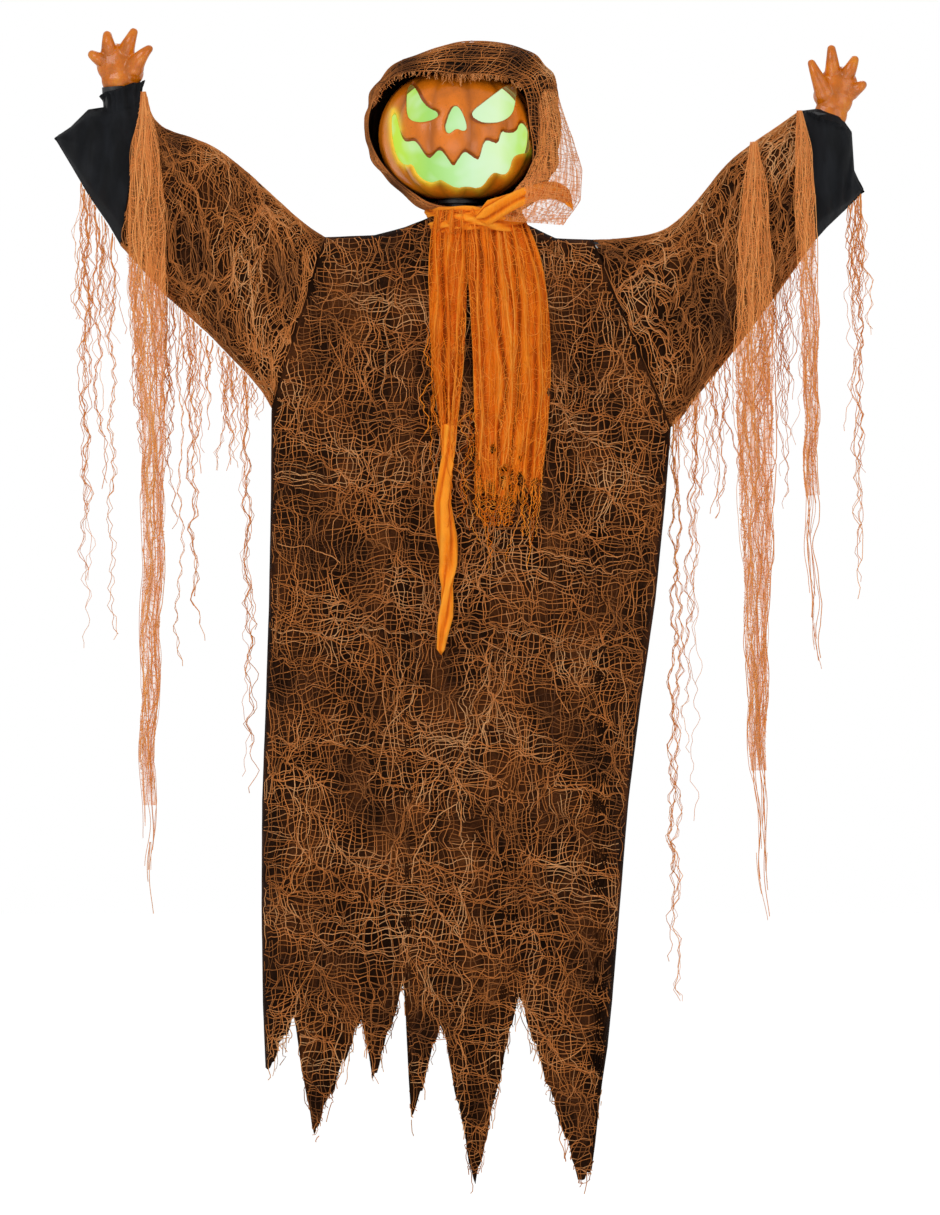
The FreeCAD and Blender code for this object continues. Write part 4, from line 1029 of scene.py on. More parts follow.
def hood_at(turn, reach, lift=0.0):
    """A point of the hood: reach 0 at its front edge, 0.4 at its widest, 1 at the middle of its back."""
    rim = loop_at(metres(HOOD_RIM), turn)
    mouth = loop_at(metres(HOOD_MOUTH), turn)
    deep = loop_at(np.array(MOUTH_DEPTH, float)[:, None] * MM, turn)[..., 0]
    centre = np.array(HOOD_CENTRE)
    front = np.clip(reach / 0.4, 0, 1) * math.pi / 2
    back = np.clip((reach - 0.4) / 0.6, 0, 1) * math.pi / 2
    flat = mouth + (rim - mouth) * np.sin(front)[..., None]
    flat = np.where((reach > 0.4)[..., None], centre + (rim - centre) * np.cos(back)[..., None], flat)
    y = np.where(reach > 0.4, 0.142 * np.sin(back), -deep * np.cos(front))
    point = np.stack([flat[..., 0], y, flat[..., 1]], -1)
    angle = turn * 2 * math.pi
    ruck = 0.001 * np.sin(9 * angle + 6 * reach) + 0.0008 * np.sin(17 * angle - 16 * reach) + 0.0022 * waves(
        61, 0.09, point[..., 0] + point[..., 1] * 0.4, point[..., 2] * 2.2)
    out = point - np.array([0.0, 0.0, -0.122])
    out = out / np.linalg.norm(out, axis=-1, keepdims=True)
    lean = np.clip(np.minimum(reach * 6, (1 - reach) * 5), 0.15, 1)
    return point + out * ((ruck * lean) + lift)[..., None]


def hood_net(seed):
    """Gauze over the hood, ending in a ragged fringe across the forehead."""
    rng = np.random.default_rng(seed)
    lines = []
    turn = np.linspace(0, 1, 230)
    for start in np.concatenate([np.arange(0.0, 0.4, 0.024), np.arange(0.4, 0.985, 0.024)]):
        reach = np.clip(start + 0.012 * waves(seed, 0.5, turn * 6, turn * 0 + start * 5, 5), 0, 0.99)
        points = hood_at(turn, reach, 0.0018 + 0.001 * rng.random())
        points[-1] = points[0]
        tint = 0.42 + 0.2 * waves(seed + 1, 0.09, points[:, 0], points[:, 2]) + rng.normal(0, 0.14)
        lines.append((points, tint, 0.8 + 0.5 * rng.random()))
    reach = np.linspace(0, 0.97, 74)
    for k, start in enumerate(np.arange(0, 1, 1 / 150)):
        high = 0.97 if k % 3 == 0 else 0.62
        r = np.clip(reach * high / 0.97, 0.0, 1)
        t = start + 0.005 * waves(seed + 3, 0.3, r * 3, r * 0 + start * 30, 5)
        points = hood_at(t % 1.0, r, 0.0018 + 0.001 * rng.random())
        tint = 0.42 + 0.2 * waves(seed + 1, 0.09, points[:, 0], points[:, 2]) + rng.normal(0, 0.14)
        lines.append((points, tint, 0.8 + 0.5 * rng.random()))
    for _ in range(190):
        t = rng.uniform(0.60, 0.97)
        base = hood_at(np.array([t]), np.array([0.0]), 0.001)[0]
        n = 9
        brow = math.exp(-(((base[0] + 0.005) / 0.03) ** 2))
        down = np.linspace(0, rng.uniform(0.004, 0.010) + 0.016 * rng.random() * brow, n)
        sway = np.cumsum(rng.normal(0, 0.0011, n))
        y = base[1] - 0.10 * down - 0.0015
        line = np.stack([base[0] + sway, y + 0 * sway, base[2] - down], -1)
        lines.append((line, 0.5 + 0.4 * rng.random(), 0.75))
    return lines


def veil_at(u, v):
    """The sheer bag of gauze at the hood's right: u across from the hood outwards, v from top to neck."""
    outer = along(metres([(140, -40), (158, -66), (170, -104), (184, -142), (198, -190), (195, -240),
                          (168, -279)]), v)
    inner = along(metres([(120, -40), (126, -80), (130, -120), (126, -165), (106, -205), (78, -238),
                          (60, -272)]), v)
    flat = inner + (outer - inner) * u[..., None]
    y = -0.058 + 0.03 * u - 0.034 * np.sin(np.pi * u) * np.sin(np.pi * np.clip(v, 0.02, 0.98)) - 0.012 * v
    y = y + 0.004 * np.sin(v * 17 + u * 5) * u
    return np.stack([flat[..., 0], y, flat[..., 1]], -1)


class SCARECROW_OT_hood(bpy.types.Operator):
    """Build the hood, its gauze with the forehead fringe, and the sheer bag beside it"""

    bl_idname = "scarecrow.hood"
    bl_label = "Hood"

    def execute(self, context):
        rows, columns = 84, 150
        reach, turn = np.meshgrid(np.linspace(0, 0.995, rows), np.linspace(0, 1, columns, endpoint=False),
                                  indexing="ij")
        points = hood_at(turn, reach).reshape(-1, 3)
        pole = len(points)
        points = np.concatenate([points, hood_at(np.array([0.0]), np.array([1.0]))])
        faces = grid_faces(rows, columns, closed=True)
        faces += far_fan(rows, columns, pole)
        shell = mesh_piece("hood_lining", points, faces, FINISH["hood"])
        outward(shell)
        thicken(shell, 0.0012, -1.0)
        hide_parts("hood")
        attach(shell, "torso")
        net = thread_piece("hood_gauze", hood_net(71), FINISH["gauze"], 0.0007)
        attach(net, "torso")
        self.veil()
        return {"FINISHED"}

    def veil(self):
        rows, columns = 60, 30
        v, u = np.meshgrid(np.linspace(0, 1, rows), np.linspace(0, 1, columns), indexing="ij")
        film = mesh_piece("hood_bag_film", veil_at(u, v).reshape(-1, 3), grid_faces(rows, columns),
                          FINISH["film"])
        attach(film, "torso")
        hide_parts("hood_veil")
        rng = np.random.default_rng(17)
        lines = []
        down = np.linspace(0, 1, 60)
        for start in np.arange(0.02, 1.02, 0.075):
            u = np.clip(start + 0.03 * np.sin(down * 9 + start * 20) + 0.012 * waves(3, 0.4, down * 4,
                                                                                     down * 0 + start), 0, 1)
            lines.append((veil_at(u, down) - [0, 0.001, 0], 0.6 + 0.3 * rng.random(),
                          0.7 + 0.4 * rng.random()))
        over = np.linspace(0, 1, 24)
        for start in np.arange(0.01, 1.0, 0.024):
            v = np.clip(start + 0.02 * np.sin(over * 6 + start * 31), 0, 1)
            lines.append((veil_at(over, v) - [0, 0.001, 0], 0.6 + 0.3 * rng.random(),
                          0.6 + 0.4 * rng.random()))
        net = thread_piece("hood_bag_gauze", lines, FINISH["strand"], 0.0006)
        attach(net, "torso")


# ---- pumpkin head ------------------------------------------------------------------
HEAD = (0.0, 0.0, -0.134)
LOBE_TURN = math.radians(-5.5)
EYES = {
    "left": [(-76, 83), (-66, 69), (-58, 50), (-47, 38), (-34, 32), (-31, 26), (-37, 20), (-57, 15),
             (-74, 18),
             (-81, 27), (-82, 54), (-80, 72)],
    "right": [(90, 81), (76, 77), (61, 64), (43, 49), (22, 32), (23, 24), (37, 15), (60, 15), (75, 20),
              (87, 31),
              (91, 50), (93, 72)],
}
NOSE = [(-20, 8), (-18, -2), (-13, -4), (-7, 2), (-1, 5), (6, 1), (14, 1), (13, 14), (6, 32), (-1, 41),
        (-7, 41),
        (-14, 28)]
LIP_TOP = [(-103, 36), (-98, 27), (-94, 6), (-87, -12), (-80, -16), (-70, -13), (-64, -18), (-51, -39),
           (-45, -42),
           (-40, -38), (-30, -28), (-24, -32), (-13, -48), (-7, -56), (2, -42), (10, -31), (18, -36),
           (29, -44),
           (34, -44), (42, -13), (52, -15), (64, -20), (69, 3), (78, -2), (93, 1), (99, 19), (111, 9)]
LIP_LOW = [(114, -28), (106, -31), (93, -34), (86, -41), (82, -58), (74, -67), (58, -62), (50, -69),
           (42, -81),
           (32, -88), (13, -84), (-2, -88), (-18, -80), (-27, -74), (-36, -77), (-44, -79), (-58, -72),
           (-66, -63),
           (-72, -49), (-83, -51), (-93, -44), (-99, -31), (-104, -10), (-106, 20)]


def shell_points(radius, half, columns, rows, dent):
    """A lobed pumpkin surface: a flattened ball with grooves, dimpled at its top and bottom."""
    points = []
    for r in range(rows + 1):
        theta = math.pi * (r / rows - 0.5)
        c, s = abs(math.cos(theta)) ** 0.86, math.sin(theta)
        for k in range(columns):
            a = 2 * math.pi * k / columns
            lobe = abs(math.cos((a - LOBE_TURN) * 6))
            groove = (1 - lobe) ** 2.2
            reach = radius * c - dent * groove * (c ** 0.5)
            points.append((HEAD[0] + reach * math.sin(a), HEAD[1] - reach * math.cos(a),
                           HEAD[2] + half * s * (1 - 0.10 * (1 - c) ** 3)))
    return points


def closed_ball(columns, rows, points):
    work = bmesh.new()
    verts = [work.verts.new(p) for p in points]
    for f in grid_faces(rows + 1, columns, closed=True):
        work.faces.new([verts[i] for i in f])
    bmesh.ops.remove_doubles(work, verts=work.verts, dist=1e-5)
    bmesh.ops.recalc_face_normals(work, faces=work.faces)
    return work


def undercut(outline, shift):
    """An outline whose sides are moved by shift where they face that way, so the wall behind them shows."""
    outline = np.asarray(outline, float)
    way = np.roll(outline, -1, axis=0) - np.roll(outline, 1, axis=0)
    normal = np.stack([way[:, 1], -way[:, 0]], 1)
    normal /= np.linalg.norm(normal, axis=1, keepdims=True)
    following = np.roll(outline, -1, axis=0)
    if (outline[:, 0] * following[:, 1] - outline[:, 1] * following[:, 0]).sum() < 0:
        normal = -normal
    shift = np.asarray(shift, float)
    facing = np.clip(normal @ shift / np.linalg.norm(shift) * 1.6, 0, 1)
    return outline + shift * facing[:, None]


def cutter(outline):
    """A straight prism through the front of the head."""
    outline = rounded(np.vstack([metres(outline), metres(outline[:1])]), 1)[:-1]
    work = bmesh.new()
    ends = [[work.verts.new((p[0] + HEAD[0], y, p[1] + HEAD[2])) for p in outline] for y in (-0.19, -0.016)]
    n = len(outline)
    for k in range(n):
        work.faces.new((ends[0][k], ends[0][(k + 1) % n], ends[1][(k + 1) % n], ends[1][k]))
    work.faces.new(ends[0][::-1])
    work.faces.new(ends[1])
    bmesh.ops.triangulate(work, faces=[f for f in work.faces if len(f.verts) > 4])
    bmesh.ops.recalc_face_normals(work, faces=work.faces)
    mesh = bpy.data.meshes.new("face_cut")
    work.to_mesh(mesh)
    work.free()
    return link("face_cut", mesh)


def carved_layer(radius, half, depths, dent, outlines):
    """One layer of the shell between two depths, with the face cut straight through it."""
    columns, rows = 192, 96
    outer, inner = (closed_ball(columns, rows, shell_points(radius - d, half - d, columns, rows,
                                                            dent)) for d in depths)
    skin = BVHTree.FromBMesh(outer)
    bmesh.ops.reverse_faces(inner, faces=inner.faces)
    hollow = bpy.data.meshes.new("hollow")
    inner.to_mesh(hollow)
    outer.from_mesh(hollow)
    bpy.data.meshes.remove(hollow)
    mesh = bpy.data.meshes.new("pumpkin_shell")
    outer.to_mesh(mesh)
    outer.free()
    inner.free()
    layer = link("pumpkin_shell", mesh)
    cuts = [cutter(outline) for outline in outlines]
    for face_cut in cuts:
        carve = layer.modifiers.new("cut", "BOOLEAN")
        carve.operation, carve.object, carve.solver = "DIFFERENCE", face_cut, "EXACT"
    apply_modifiers(layer)
    for face_cut in cuts:
        bpy.data.objects.remove(face_cut)
    return layer, skin


def distance_to_line(x, z, line):
    best = np.full(x.shape, 9.0)
    flat = np.stack([x, z], -1)
    for a, b in zip(line[:-1], line[1:]):
        d = b - a
        t = np.clip(((flat - a) @ d) / (d @ d), 0, 1)
        best = np.minimum(best, np.linalg.norm(flat - a - t[..., None] * d, axis=-1))
    return best


class SCARECROW_OT_head(bpy.types.Operator):
    """Carve the pumpkin head, whose glowing lining behind the face gets its finish in the frame step"""

    bl_idname = "scarecrow.head"
    bl_label = "Pumpkin head"

    def execute(self, context):
        settings = context.scene.scarecrow_head
        low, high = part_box("pumpkin_front")
        radius, half = (high[0] - low[0]) / 2, 0.108
        wall, dent = settings.wall, settings.groove
        seen = [EYES["left"], EYES["right"], NOSE, LIP_TOP + LIP_LOW]
        shifts = [(4.5, 2.5), (-5.5, -3.5), (-3, 1.5), (0, 5.5)]
        shell, skin = carved_layer(radius, half, (0, wall * 0.55), dent,
                                   [undercut(o, d) for o, d in zip(seen, shifts)])
        inner, _ = carved_layer(radius, half, (wall * 0.5, wall), dent, seen)
        work = bmesh.new()
        work.from_mesh(shell.data)
        work.from_mesh(inner.data)
        work.to_mesh(shell.data)
        work.free()
        bpy.data.objects.remove(inner)
        remesh = shell.modifiers.new("skin", "REMESH")
        remesh.mode = "VOXEL"
        remesh.voxel_size = 0.0023
        soft = shell.modifiers.new("soften", "SMOOTH")
        soft.factor, soft.iterations = 0.5, 3
        apply_modifiers(shell)
        shell.data.shade_smooth()
        shell.data.materials.clear()
        shell.data.materials.append(FINISH["pumpkin"])
        self.paint(shell, skin)
        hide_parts("pumpkin_front", "pumpkin_back")
        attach(shell, "head")
        return {"FINISHED"}

    def paint(self, shell, skin):
        """Attributes: how near a groove and how much of the cut edge, both for painted shade, and how much
        painted light spills on it.
        """
        points = np.zeros(len(shell.data.vertices) * 3, np.float32)
        shell.data.vertices.foreach_get("co", points)
        points = points.reshape(-1, 3)
        depth = np.array([skin.find_nearest(Vector(p))[3] for p in points.tolist()])
        points = points - np.array(HEAD, np.float32)
        angle = np.arctan2(points[:, 0], -points[:, 1]) - LOBE_TURN
        # Mask for the painted shade in the grooves.
        groove = np.clip((1 - np.abs(np.cos(angle * 6))) ** 2.2, 0, 1)
        # Mask for the painted shade on the cut walls.
        cut = smooth(depth, 0.0012, 0.0036)
        lip = metres(LIP_LOW + LIP_TOP[:3])
        away = distance_to_line(points[:, 0], points[:, 2], lip)
        front = smooth(-points[:, 1], 0.02, 0.05)
        spill = (0.9 * np.exp(-((away / 0.0055) ** 2)) + 0.16 * np.exp(-((away / 0.014) ** 2))) * front
        spill = spill * (0.35 + 0.65 * smooth(-points[:, 0], -0.03, 0.07))
        for name, values in (("groove", groove), ("cut", cut), ("glow", np.clip(spill, 0, 1) * 0.75)):
            layer = shell.data.attributes.new(name, "FLOAT", "POINT")
            layer.data.foreach_set("value", values.astype(np.float32))


# ---- hands -------------------------------------------------------------------------
FINGERS = {
    "left": [((-566, -16), (-578, -10), (-585, -5), 14, 7.5), ((-557, -4), (-560, 12), (-561, 26), 16, 7.5),
             ((-534, -4), (-526, 14), (-519, 31), 17, 7.0), ((-520, -26), (-506, -6), (-494, 4), 18, 6.5)],
    "right": [((586, -66), (572, -38), (565, -19), 17, 6.5), ((600, -42), (598, -14), (597, 4), 16, 7.0),
              ((618, -44), (629, -26), (634, -13), 16, 7.0), ((628, -64), (642, -57), (647, -53), 14, 7.0)],
}
PALM = {"left": (((-545, -20), 34, 24), ((-540, -44), 31, 24), ((-524, -34), 21, 24), ((-536, -66), 27, 22),
                 ((-540, -90), 25, 21)),
        "right": (((608, -54), 32, 24), ((602, -76), 30, 24), ((588, -70), 20, 24), ((596, -100), 27, 22),
                  ((590, -124), 25, 21))}


def hand_mesh(side):
    """Palm, mound of the thumb and curled fingers, run together into one moulded skin."""
    work = bmesh.new()

    def ball(x, y, z, rx, ry):
        made = bmesh.ops.create_icosphere(work, subdivisions=3, radius=1.0)["verts"]
        for vert in made:
            vert.co = Vector((x + vert.co.x * rx, y + vert.co.y * ry, z + vert.co.z * rx)) * MM

    for (x, z), wide, deep in PALM[side]:
        ball(x, 2, z, wide, deep * 0.72)
    for k, (root, knuckle, tip, thick, thin) in enumerate(FINGERS[side]):
        for n in range(19):
            t = n / 18
            a = (1 - t) ** 2
            b, c = 2 * t * (1 - t), t * t
            x = a * root[0] + b * knuckle[0] + c * tip[0]
            z = a * root[1] + b * knuckle[1] + c * tip[1]
            tucked = k == (3 if side == "left" else 0)
            y = -10 * math.sin(t * 2.4) - (6 if tucked else 0)
            size = thick + (thin - thick) * t ** 0.7
            ball(x, y, z, size, size * (0.72 + 0.28 * t))
    mesh = bpy.data.meshes.new("hand_moulded_" + side)
    work.to_mesh(mesh)
    work.free()
    piece = link("hand_moulded_" + side, mesh)
    remesh = piece.modifiers.new("skin", "REMESH")
    remesh.mode = "VOXEL"
    remesh.voxel_size = 0.0015
    soft = piece.modifiers.new("soften", "SMOOTH")
    soft.factor, soft.iterations = 0.5, 5
    apply_modifiers(piece)
    piece.data.shade_smooth()
    piece.data.materials.clear()
    piece.data.materials.append(FINISH["hand"])
    return piece


class SCARECROW_OT_hands(bpy.types.Operator):
    """Mould the two orange hands with their curled fingers"""

    bl_idname = "scarecrow.hands"
    bl_label = "Hands"

    def execute(self, context):
        for side in ("left", "right"):
            piece = hand_mesh(side)
            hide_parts("hand_" + side)
            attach(piece, "hand_" + side)
        return {"FINISHED"}


# ---- scarf -------------------------------------------------------------------------
def body_front(x, z):
    """The y of the robe's front face."""
    return -half_depth(x, z, -1) - 0.004 + 0.004 * waves(9, 0.06, x, z)


def pleated(name, left, right, pleats, deep, proud, rows, columns, torn, seed, pitch):
    """A hanging length of cloth between two edge lines, pleated across, torn at its foot."""
    v, u = np.meshgrid(np.linspace(0, 1, rows), np.linspace(0, 1, columns), indexing="ij")
    edge_l, edge_r = along(rounded(metres(left)), v), along(rounded(metres(right)), v)
    flat = edge_l + (edge_r - edge_l) * u[..., None]
    x, z = flat[..., 0], flat[..., 1]
    phase = u * pleats * 2 * math.pi + 1.3 * waves(seed, 0.4, u * 0.8, v * 0.8) + seed
    ridge = 0.5 + 0.5 * np.sin(phase)
    ridge = ridge ** 0.8 * (0.75 + 0.25 * waves(seed + 1, 0.5, u * 2, v))
    second = 0.5 + 0.5 * np.sin(phase * 2.7 + 3 * v)
    height = ridge + 0.28 * second
    edges = np.clip(np.minimum(u, 1 - u) * 7, 0, 1) ** 0.6
    y = body_front(x, z) - proud - deep * height * edges - 0.002
    x = x + 0.0035 * np.cos(phase) * edges
    points = np.stack([x, y, z], -1)
    foot = v + 0.05 * waves(seed + 2, 0.12, u * 0.6, v * 0.1)
    holes = waves(seed + 3, 0.030, x, z * 0.7)
    keep = (foot < torn) & ~(holes > 2.3 - 2.3 * smooth(v, torn - 0.22, torn))
    faces = []
    for k, face in enumerate(grid_faces(rows, columns)):
        if all(keep.flat[i] for i in face):
            faces.append(face)
    piece = mesh_piece(name, points.reshape(-1, 3), faces, FINISH["scarf"])
    # Painted shade: the fold attribute is lowest in the pleats' troughs and towards the side edges, where the
    # scarf material paints shade, and highest on the ridges, where it paints a highlight.
    layer = piece.data.attributes.new("fold", "FLOAT", "POINT")
    shade = np.clip(height / 1.15, 0, 1) * (0.55 + 0.45 * edges)
    layer.data.foreach_set("value", shade.astype(np.float32).ravel())
    work = bmesh.new()
    work.from_mesh(piece.data)
    bmesh.ops.delete(work, geom=[vert for vert in work.verts if not vert.link_faces], context="VERTS")
    work.to_mesh(piece.data)
    work.free()
    rng = np.random.default_rng(seed)
    lines = []
    points[..., 1] -= 0.0012
    for c in range(1, columns - 1, pitch // 2):
        c0 = np.clip(c + 2.2 * waves(seed + c, 26, np.arange(rows) * 1.0, np.zeros(rows), 4), 0, columns - 1)
        k = np.floor(np.minimum(c0, columns - 2)).astype(int)
        t = (c0 - k)[:, None]
        line = points[np.arange(rows), k] * (1 - t) + points[np.arange(rows), k + 1] * t
        close = (v[:, 0] > torn - 0.03) & (v[:, 0] < torn + 0.04 * rng.random())
        for part in runs(keep[np.arange(rows), k] | close):
            lines.append((line[part], 0.35 + 0.6 * rng.random(), 0.6 + 0.7 * rng.random()))
    for r in range(1, rows - 1, pitch // 2):
        r0 = np.clip(r + 3.0 * waves(seed + r, 22, np.arange(columns) * 1.0, np.zeros(columns), 4), 0,
                     rows - 2)
        k = np.floor(r0).astype(int)
        t = (r0 - k)[:, None]
        line = points[k, np.arange(columns)] * (1 - t) + points[k + 1, np.arange(columns)] * t
        for part in runs(keep[k, np.arange(columns)]):
            lines.append((line[part], 0.3 + 0.6 * rng.random(), 0.5 + 0.5 * rng.random()))
    return piece, lines


def ragged(left, right, start, end, count, seed, proud):
    """Threads pulled from a torn foot: loops and tails that hang in front of the robe."""
    rng = np.random.default_rng(seed)
    lines = []
    for _ in range(count):
        u = rng.random()
        v = np.linspace(start + 0.1 * rng.random(), start + (end - start) * rng.uniform(0.3, 1.0), 40)
        edge_l, edge_r = along(metres(left), np.clip(v, 0, 1)), along(metres(right), np.clip(v, 0, 1))
        drift = u + np.cumsum(rng.normal(0, 0.022, 40)) + 0.1 * np.sin(v * 40 * rng.random())
        flat = edge_l + (edge_r - edge_l) * drift[:, None]
        x = flat[:, 0] + 0.0015 * np.sin(v * 130)
        z = flat[:, 1] - np.clip(v - 1, 0, 1) * 0.25
        y = body_front(x, z) - proud - 0.006 * rng.random()
        lines.append((np.stack([x, y, z], -1), rng.random(), 0.7 + 0.6 * rng.random()))
    return lines


def scarf_net(left, right, start, end, pitch, proud, seed):
    """The scarf's open net below its whole cloth, sagging and crinkled."""
    rng = np.random.default_rng(seed)
    lines = []
    v = np.linspace(start, end, 70)
    for u in np.arange(0.02, 1.0, pitch):
        drift = u + 0.06 * waves(seed, 0.3, v * 2, v * 0 + u * 2)
        flat = along(metres(left), v) + (along(metres(right), v) - along(metres(left), v)) * drift[:, None]
        y = body_front(flat[:, 0], flat[:, 1]) - proud - 0.006 * np.sin(u * 15 + v * 6) ** 2
        lines.append((np.stack([flat[:, 0], y, flat[:, 1]], -1), rng.random(), 0.7 + 0.5 * rng.random()))
    u = np.linspace(0, 1, 26)
    for at in np.arange(start, end, 0.017):
        vv = np.clip(at + 0.012 * waves(seed + 4, 0.4, u * 2, u * 0 + at * 9), 0, 1)
        flat = along(metres(left), vv) + (along(metres(right), vv) - along(metres(left), vv)) * u[:, None]
        y = body_front(flat[:, 0], flat[:, 1]) - proud - 0.006 * np.sin(u * 15 + vv * 6) ** 2
        lines.append((np.stack([flat[:, 0], y, flat[:, 1]], -1), rng.random(), 0.6 + 0.5 * rng.random()))
    return lines


SCARF_FOLDS = (
    ("scarf_fold_left", [(-36, -256), (-46, -310), (-47, -380), (-45, -450), (-38, -530), (-30, -590),
                         (-26, -650)],
     [(14, -256), (18, -310), (14, -380), (12, -450), (6, -540), (-2, -600), (-6, -650)], 3, 0.012, 0.008,
     1.1, 11, 4),
    ("scarf_fold_middle", [(12, -254), (13, -330), (22, -450), (26, -560), (30, -720)],
     [(66, -256), (82, -350), (92, -460), (90, -560), (80, -720)], 3, 0.012, 0.009, 0.95, 23, 5),
    ("scarf_fold_right", [(60, -256), (76, -340), (84, -470), (78, -580), (70, -730)],
     [(104, -262), (134, -330), (148, -440), (148, -560), (128, -730)], 3, 0.011, 0.004, 0.95, 31, 5),
)


class SCARECROW_OT_scarf(bpy.types.Operator):
    """Drape the orange scarf: its neck wrap, folds, net, twisted tail and torn ends"""

    bl_idname = "scarecrow.scarf"
    bl_label = "Scarf"

    def execute(self, context):
        made, crinkles = [], []
        for name, left, right, pleats, deep, proud, torn, seed, net in SCARF_FOLDS:
            piece, lines = pleated(name, left, right, pleats, deep, proud, 150, 64, torn, seed, net)
            made.append(piece)
            crinkles += lines
        net_left = [(24, -560), (30, -640), (30, -700), (40, -760)]
        net_right = [(92, -560), (88, -640), (96, -700), (86, -760)]
        lines = scarf_net(net_left, net_right, 0.0, 1.0, 0.09, 0.008, 5)
        lines += ragged([(20, -540), (16, -700), (30, -790)], [(140, -540), (110, -700), (95, -790)], 0.1,
                        1.15, 26, 8, 0.008)
        lines += ragged([(108, -640), (100, -720), (102, -830)], [(140, -640), (128, -720), (120, -830)], 0.0,
                        1.0, 12, 9, 0.006)
        lines += ragged([(-50, -430), (-44, -640), (-40, -820)], [(6, -430), (4, -640), (-4, -820)], 0.0, 1.0,
                        10, 12, 0.02)
        net = thread_piece("scarf_net", lines + crinkles, FINISH["scarf_thread"], 0.00062)
        tail = self.tail()
        wraps = self.wrap()
        for piece in made + [net, tail] + wraps:
            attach(piece, "torso")
        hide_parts("scarf_panel")
        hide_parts("scarf_tail")
        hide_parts("scarf_wrap")
        return {"FINISHED"}

    def tail(self, rows=260, columns=40):
        """The long end, twisted like a rope and opening into a blade of cloth half way down."""
        v = np.linspace(0, 1, rows)
        z = -0.600 - 0.355 * v
        centre = np.interp(v, [0, 0.12, 0.35, 0.62, 0.85, 1],
                           [-0.016, -0.015, -0.024, -0.015, -0.020, -0.027])
        wide = np.interp(v, [0, 0.10, 0.3, 0.5, 0.66, 0.72, 0.86, 1],
                         [0.011, 0.009, 0.013, 0.017, 0.014, 0.009, 0.012, 0.007])
        twist = 2.2 * v * math.pi + 0.5 * np.sin(v * 9)
        points = []
        shade = []
        for k in range(rows):
            base = body_front(np.array([centre[k]]), np.array([z[k]]))[0] - 0.017
            for c in range(columns):
                a = 2 * math.pi * c / columns
                ridge = 0.5 + 0.5 * math.sin(3 * a + twist[k] * 2.4)
                second = 0.5 + 0.5 * math.sin(8 * a + twist[k] * 3 + 2)
                reach = wide[k] * (0.66 + 0.34 * ridge + 0.10 * second)
                points.append((centre[k] + reach * math.cos(a), base + 0.62 * reach * math.sin(a),
                               z[k] + 0.002 * math.sin(a * 2)))
                # Painted shade between the twist's ridges and a painted highlight on them, carried by the
                # fold attribute.
                shade.append(0.18 + 0.62 * ridge + 0.2 * second)
        tips = [(centre[0], points[0][1], z[0] + 0.004), (centre[-1], points[-1][1], z[-1] - 0.01)]
        size = len(points)
        faces = grid_faces(rows, columns, closed=True)
        faces += [(c, (c + 1) % columns, size) for c in range(columns)]
        faces += far_fan(rows, columns, size + 1)
        piece = mesh_piece("scarf_tail_twist", points + tips, faces, FINISH["scarf"])
        layer = piece.data.attributes.new("fold", "FLOAT", "POINT")
        layer.data.foreach_set("value", np.array(shade + [0.5, 0.5], np.float32))
        outward(piece)
        return piece

    def wrap(self):
        """Two turns of gathered cloth round the neck and a band running up to the hood's right."""
        turns = []
        for name, high, wide, deep, thick, seed in (("scarf_wrap_low", -0.280, 0.074, 0.072, 0.014, 1),
                                                    ("scarf_wrap_high", -0.259, 0.070, 0.070, 0.011, 4)):
            rows, columns = 240, 44
            points, shade = [], []
            for k in range(rows):
                a = 2 * math.pi * k / rows
                rise = 0.006 * math.sin(a + seed) + 0.004 * math.sin(3 * a + seed * 2)
                for c in range(columns):
                    b = 2 * math.pi * c / columns
                    ridge = 0.5 + 0.5 * math.sin(4 * b + 2.4 * math.sin(2 * a + seed) + 5 * a)
                    second = 0.5 + 0.5 * math.sin(9 * b - 7 * a + seed)
                    flatter = 1 + 0.12 * math.sin(2 * a + seed)
                    reach = thick * (0.68 + 0.32 * ridge + 0.12 * second) * flatter
                    out = 1 + reach * math.cos(b) * 0.8 / wide
                    points.append((0.026 + wide * math.sin(a) * out, -deep * math.cos(a) * out,
                                   high + rise + reach * math.sin(b)))
                    # Painted shade between the gathered ridges and a painted highlight on them, carried by
                    # the fold attribute.
                    shade.append(0.12 + 0.66 * ridge + 0.22 * second)
            faces = grid_faces(rows, columns, closed=True)
            faces += [((rows - 1) * columns + c, (rows - 1) * columns + (c + 1) % columns, (c + 1) % columns,
                       c)
                      for c in range(columns)]
            piece = mesh_piece(name, points, faces, FINISH["scarf"])
            layer = piece.data.attributes.new("fold", "FLOAT", "POINT")
            layer.data.foreach_set("value", np.array(shade, np.float32))
            outward(piece)
            turns.append(piece)
        turns.append(self.band())
        return turns

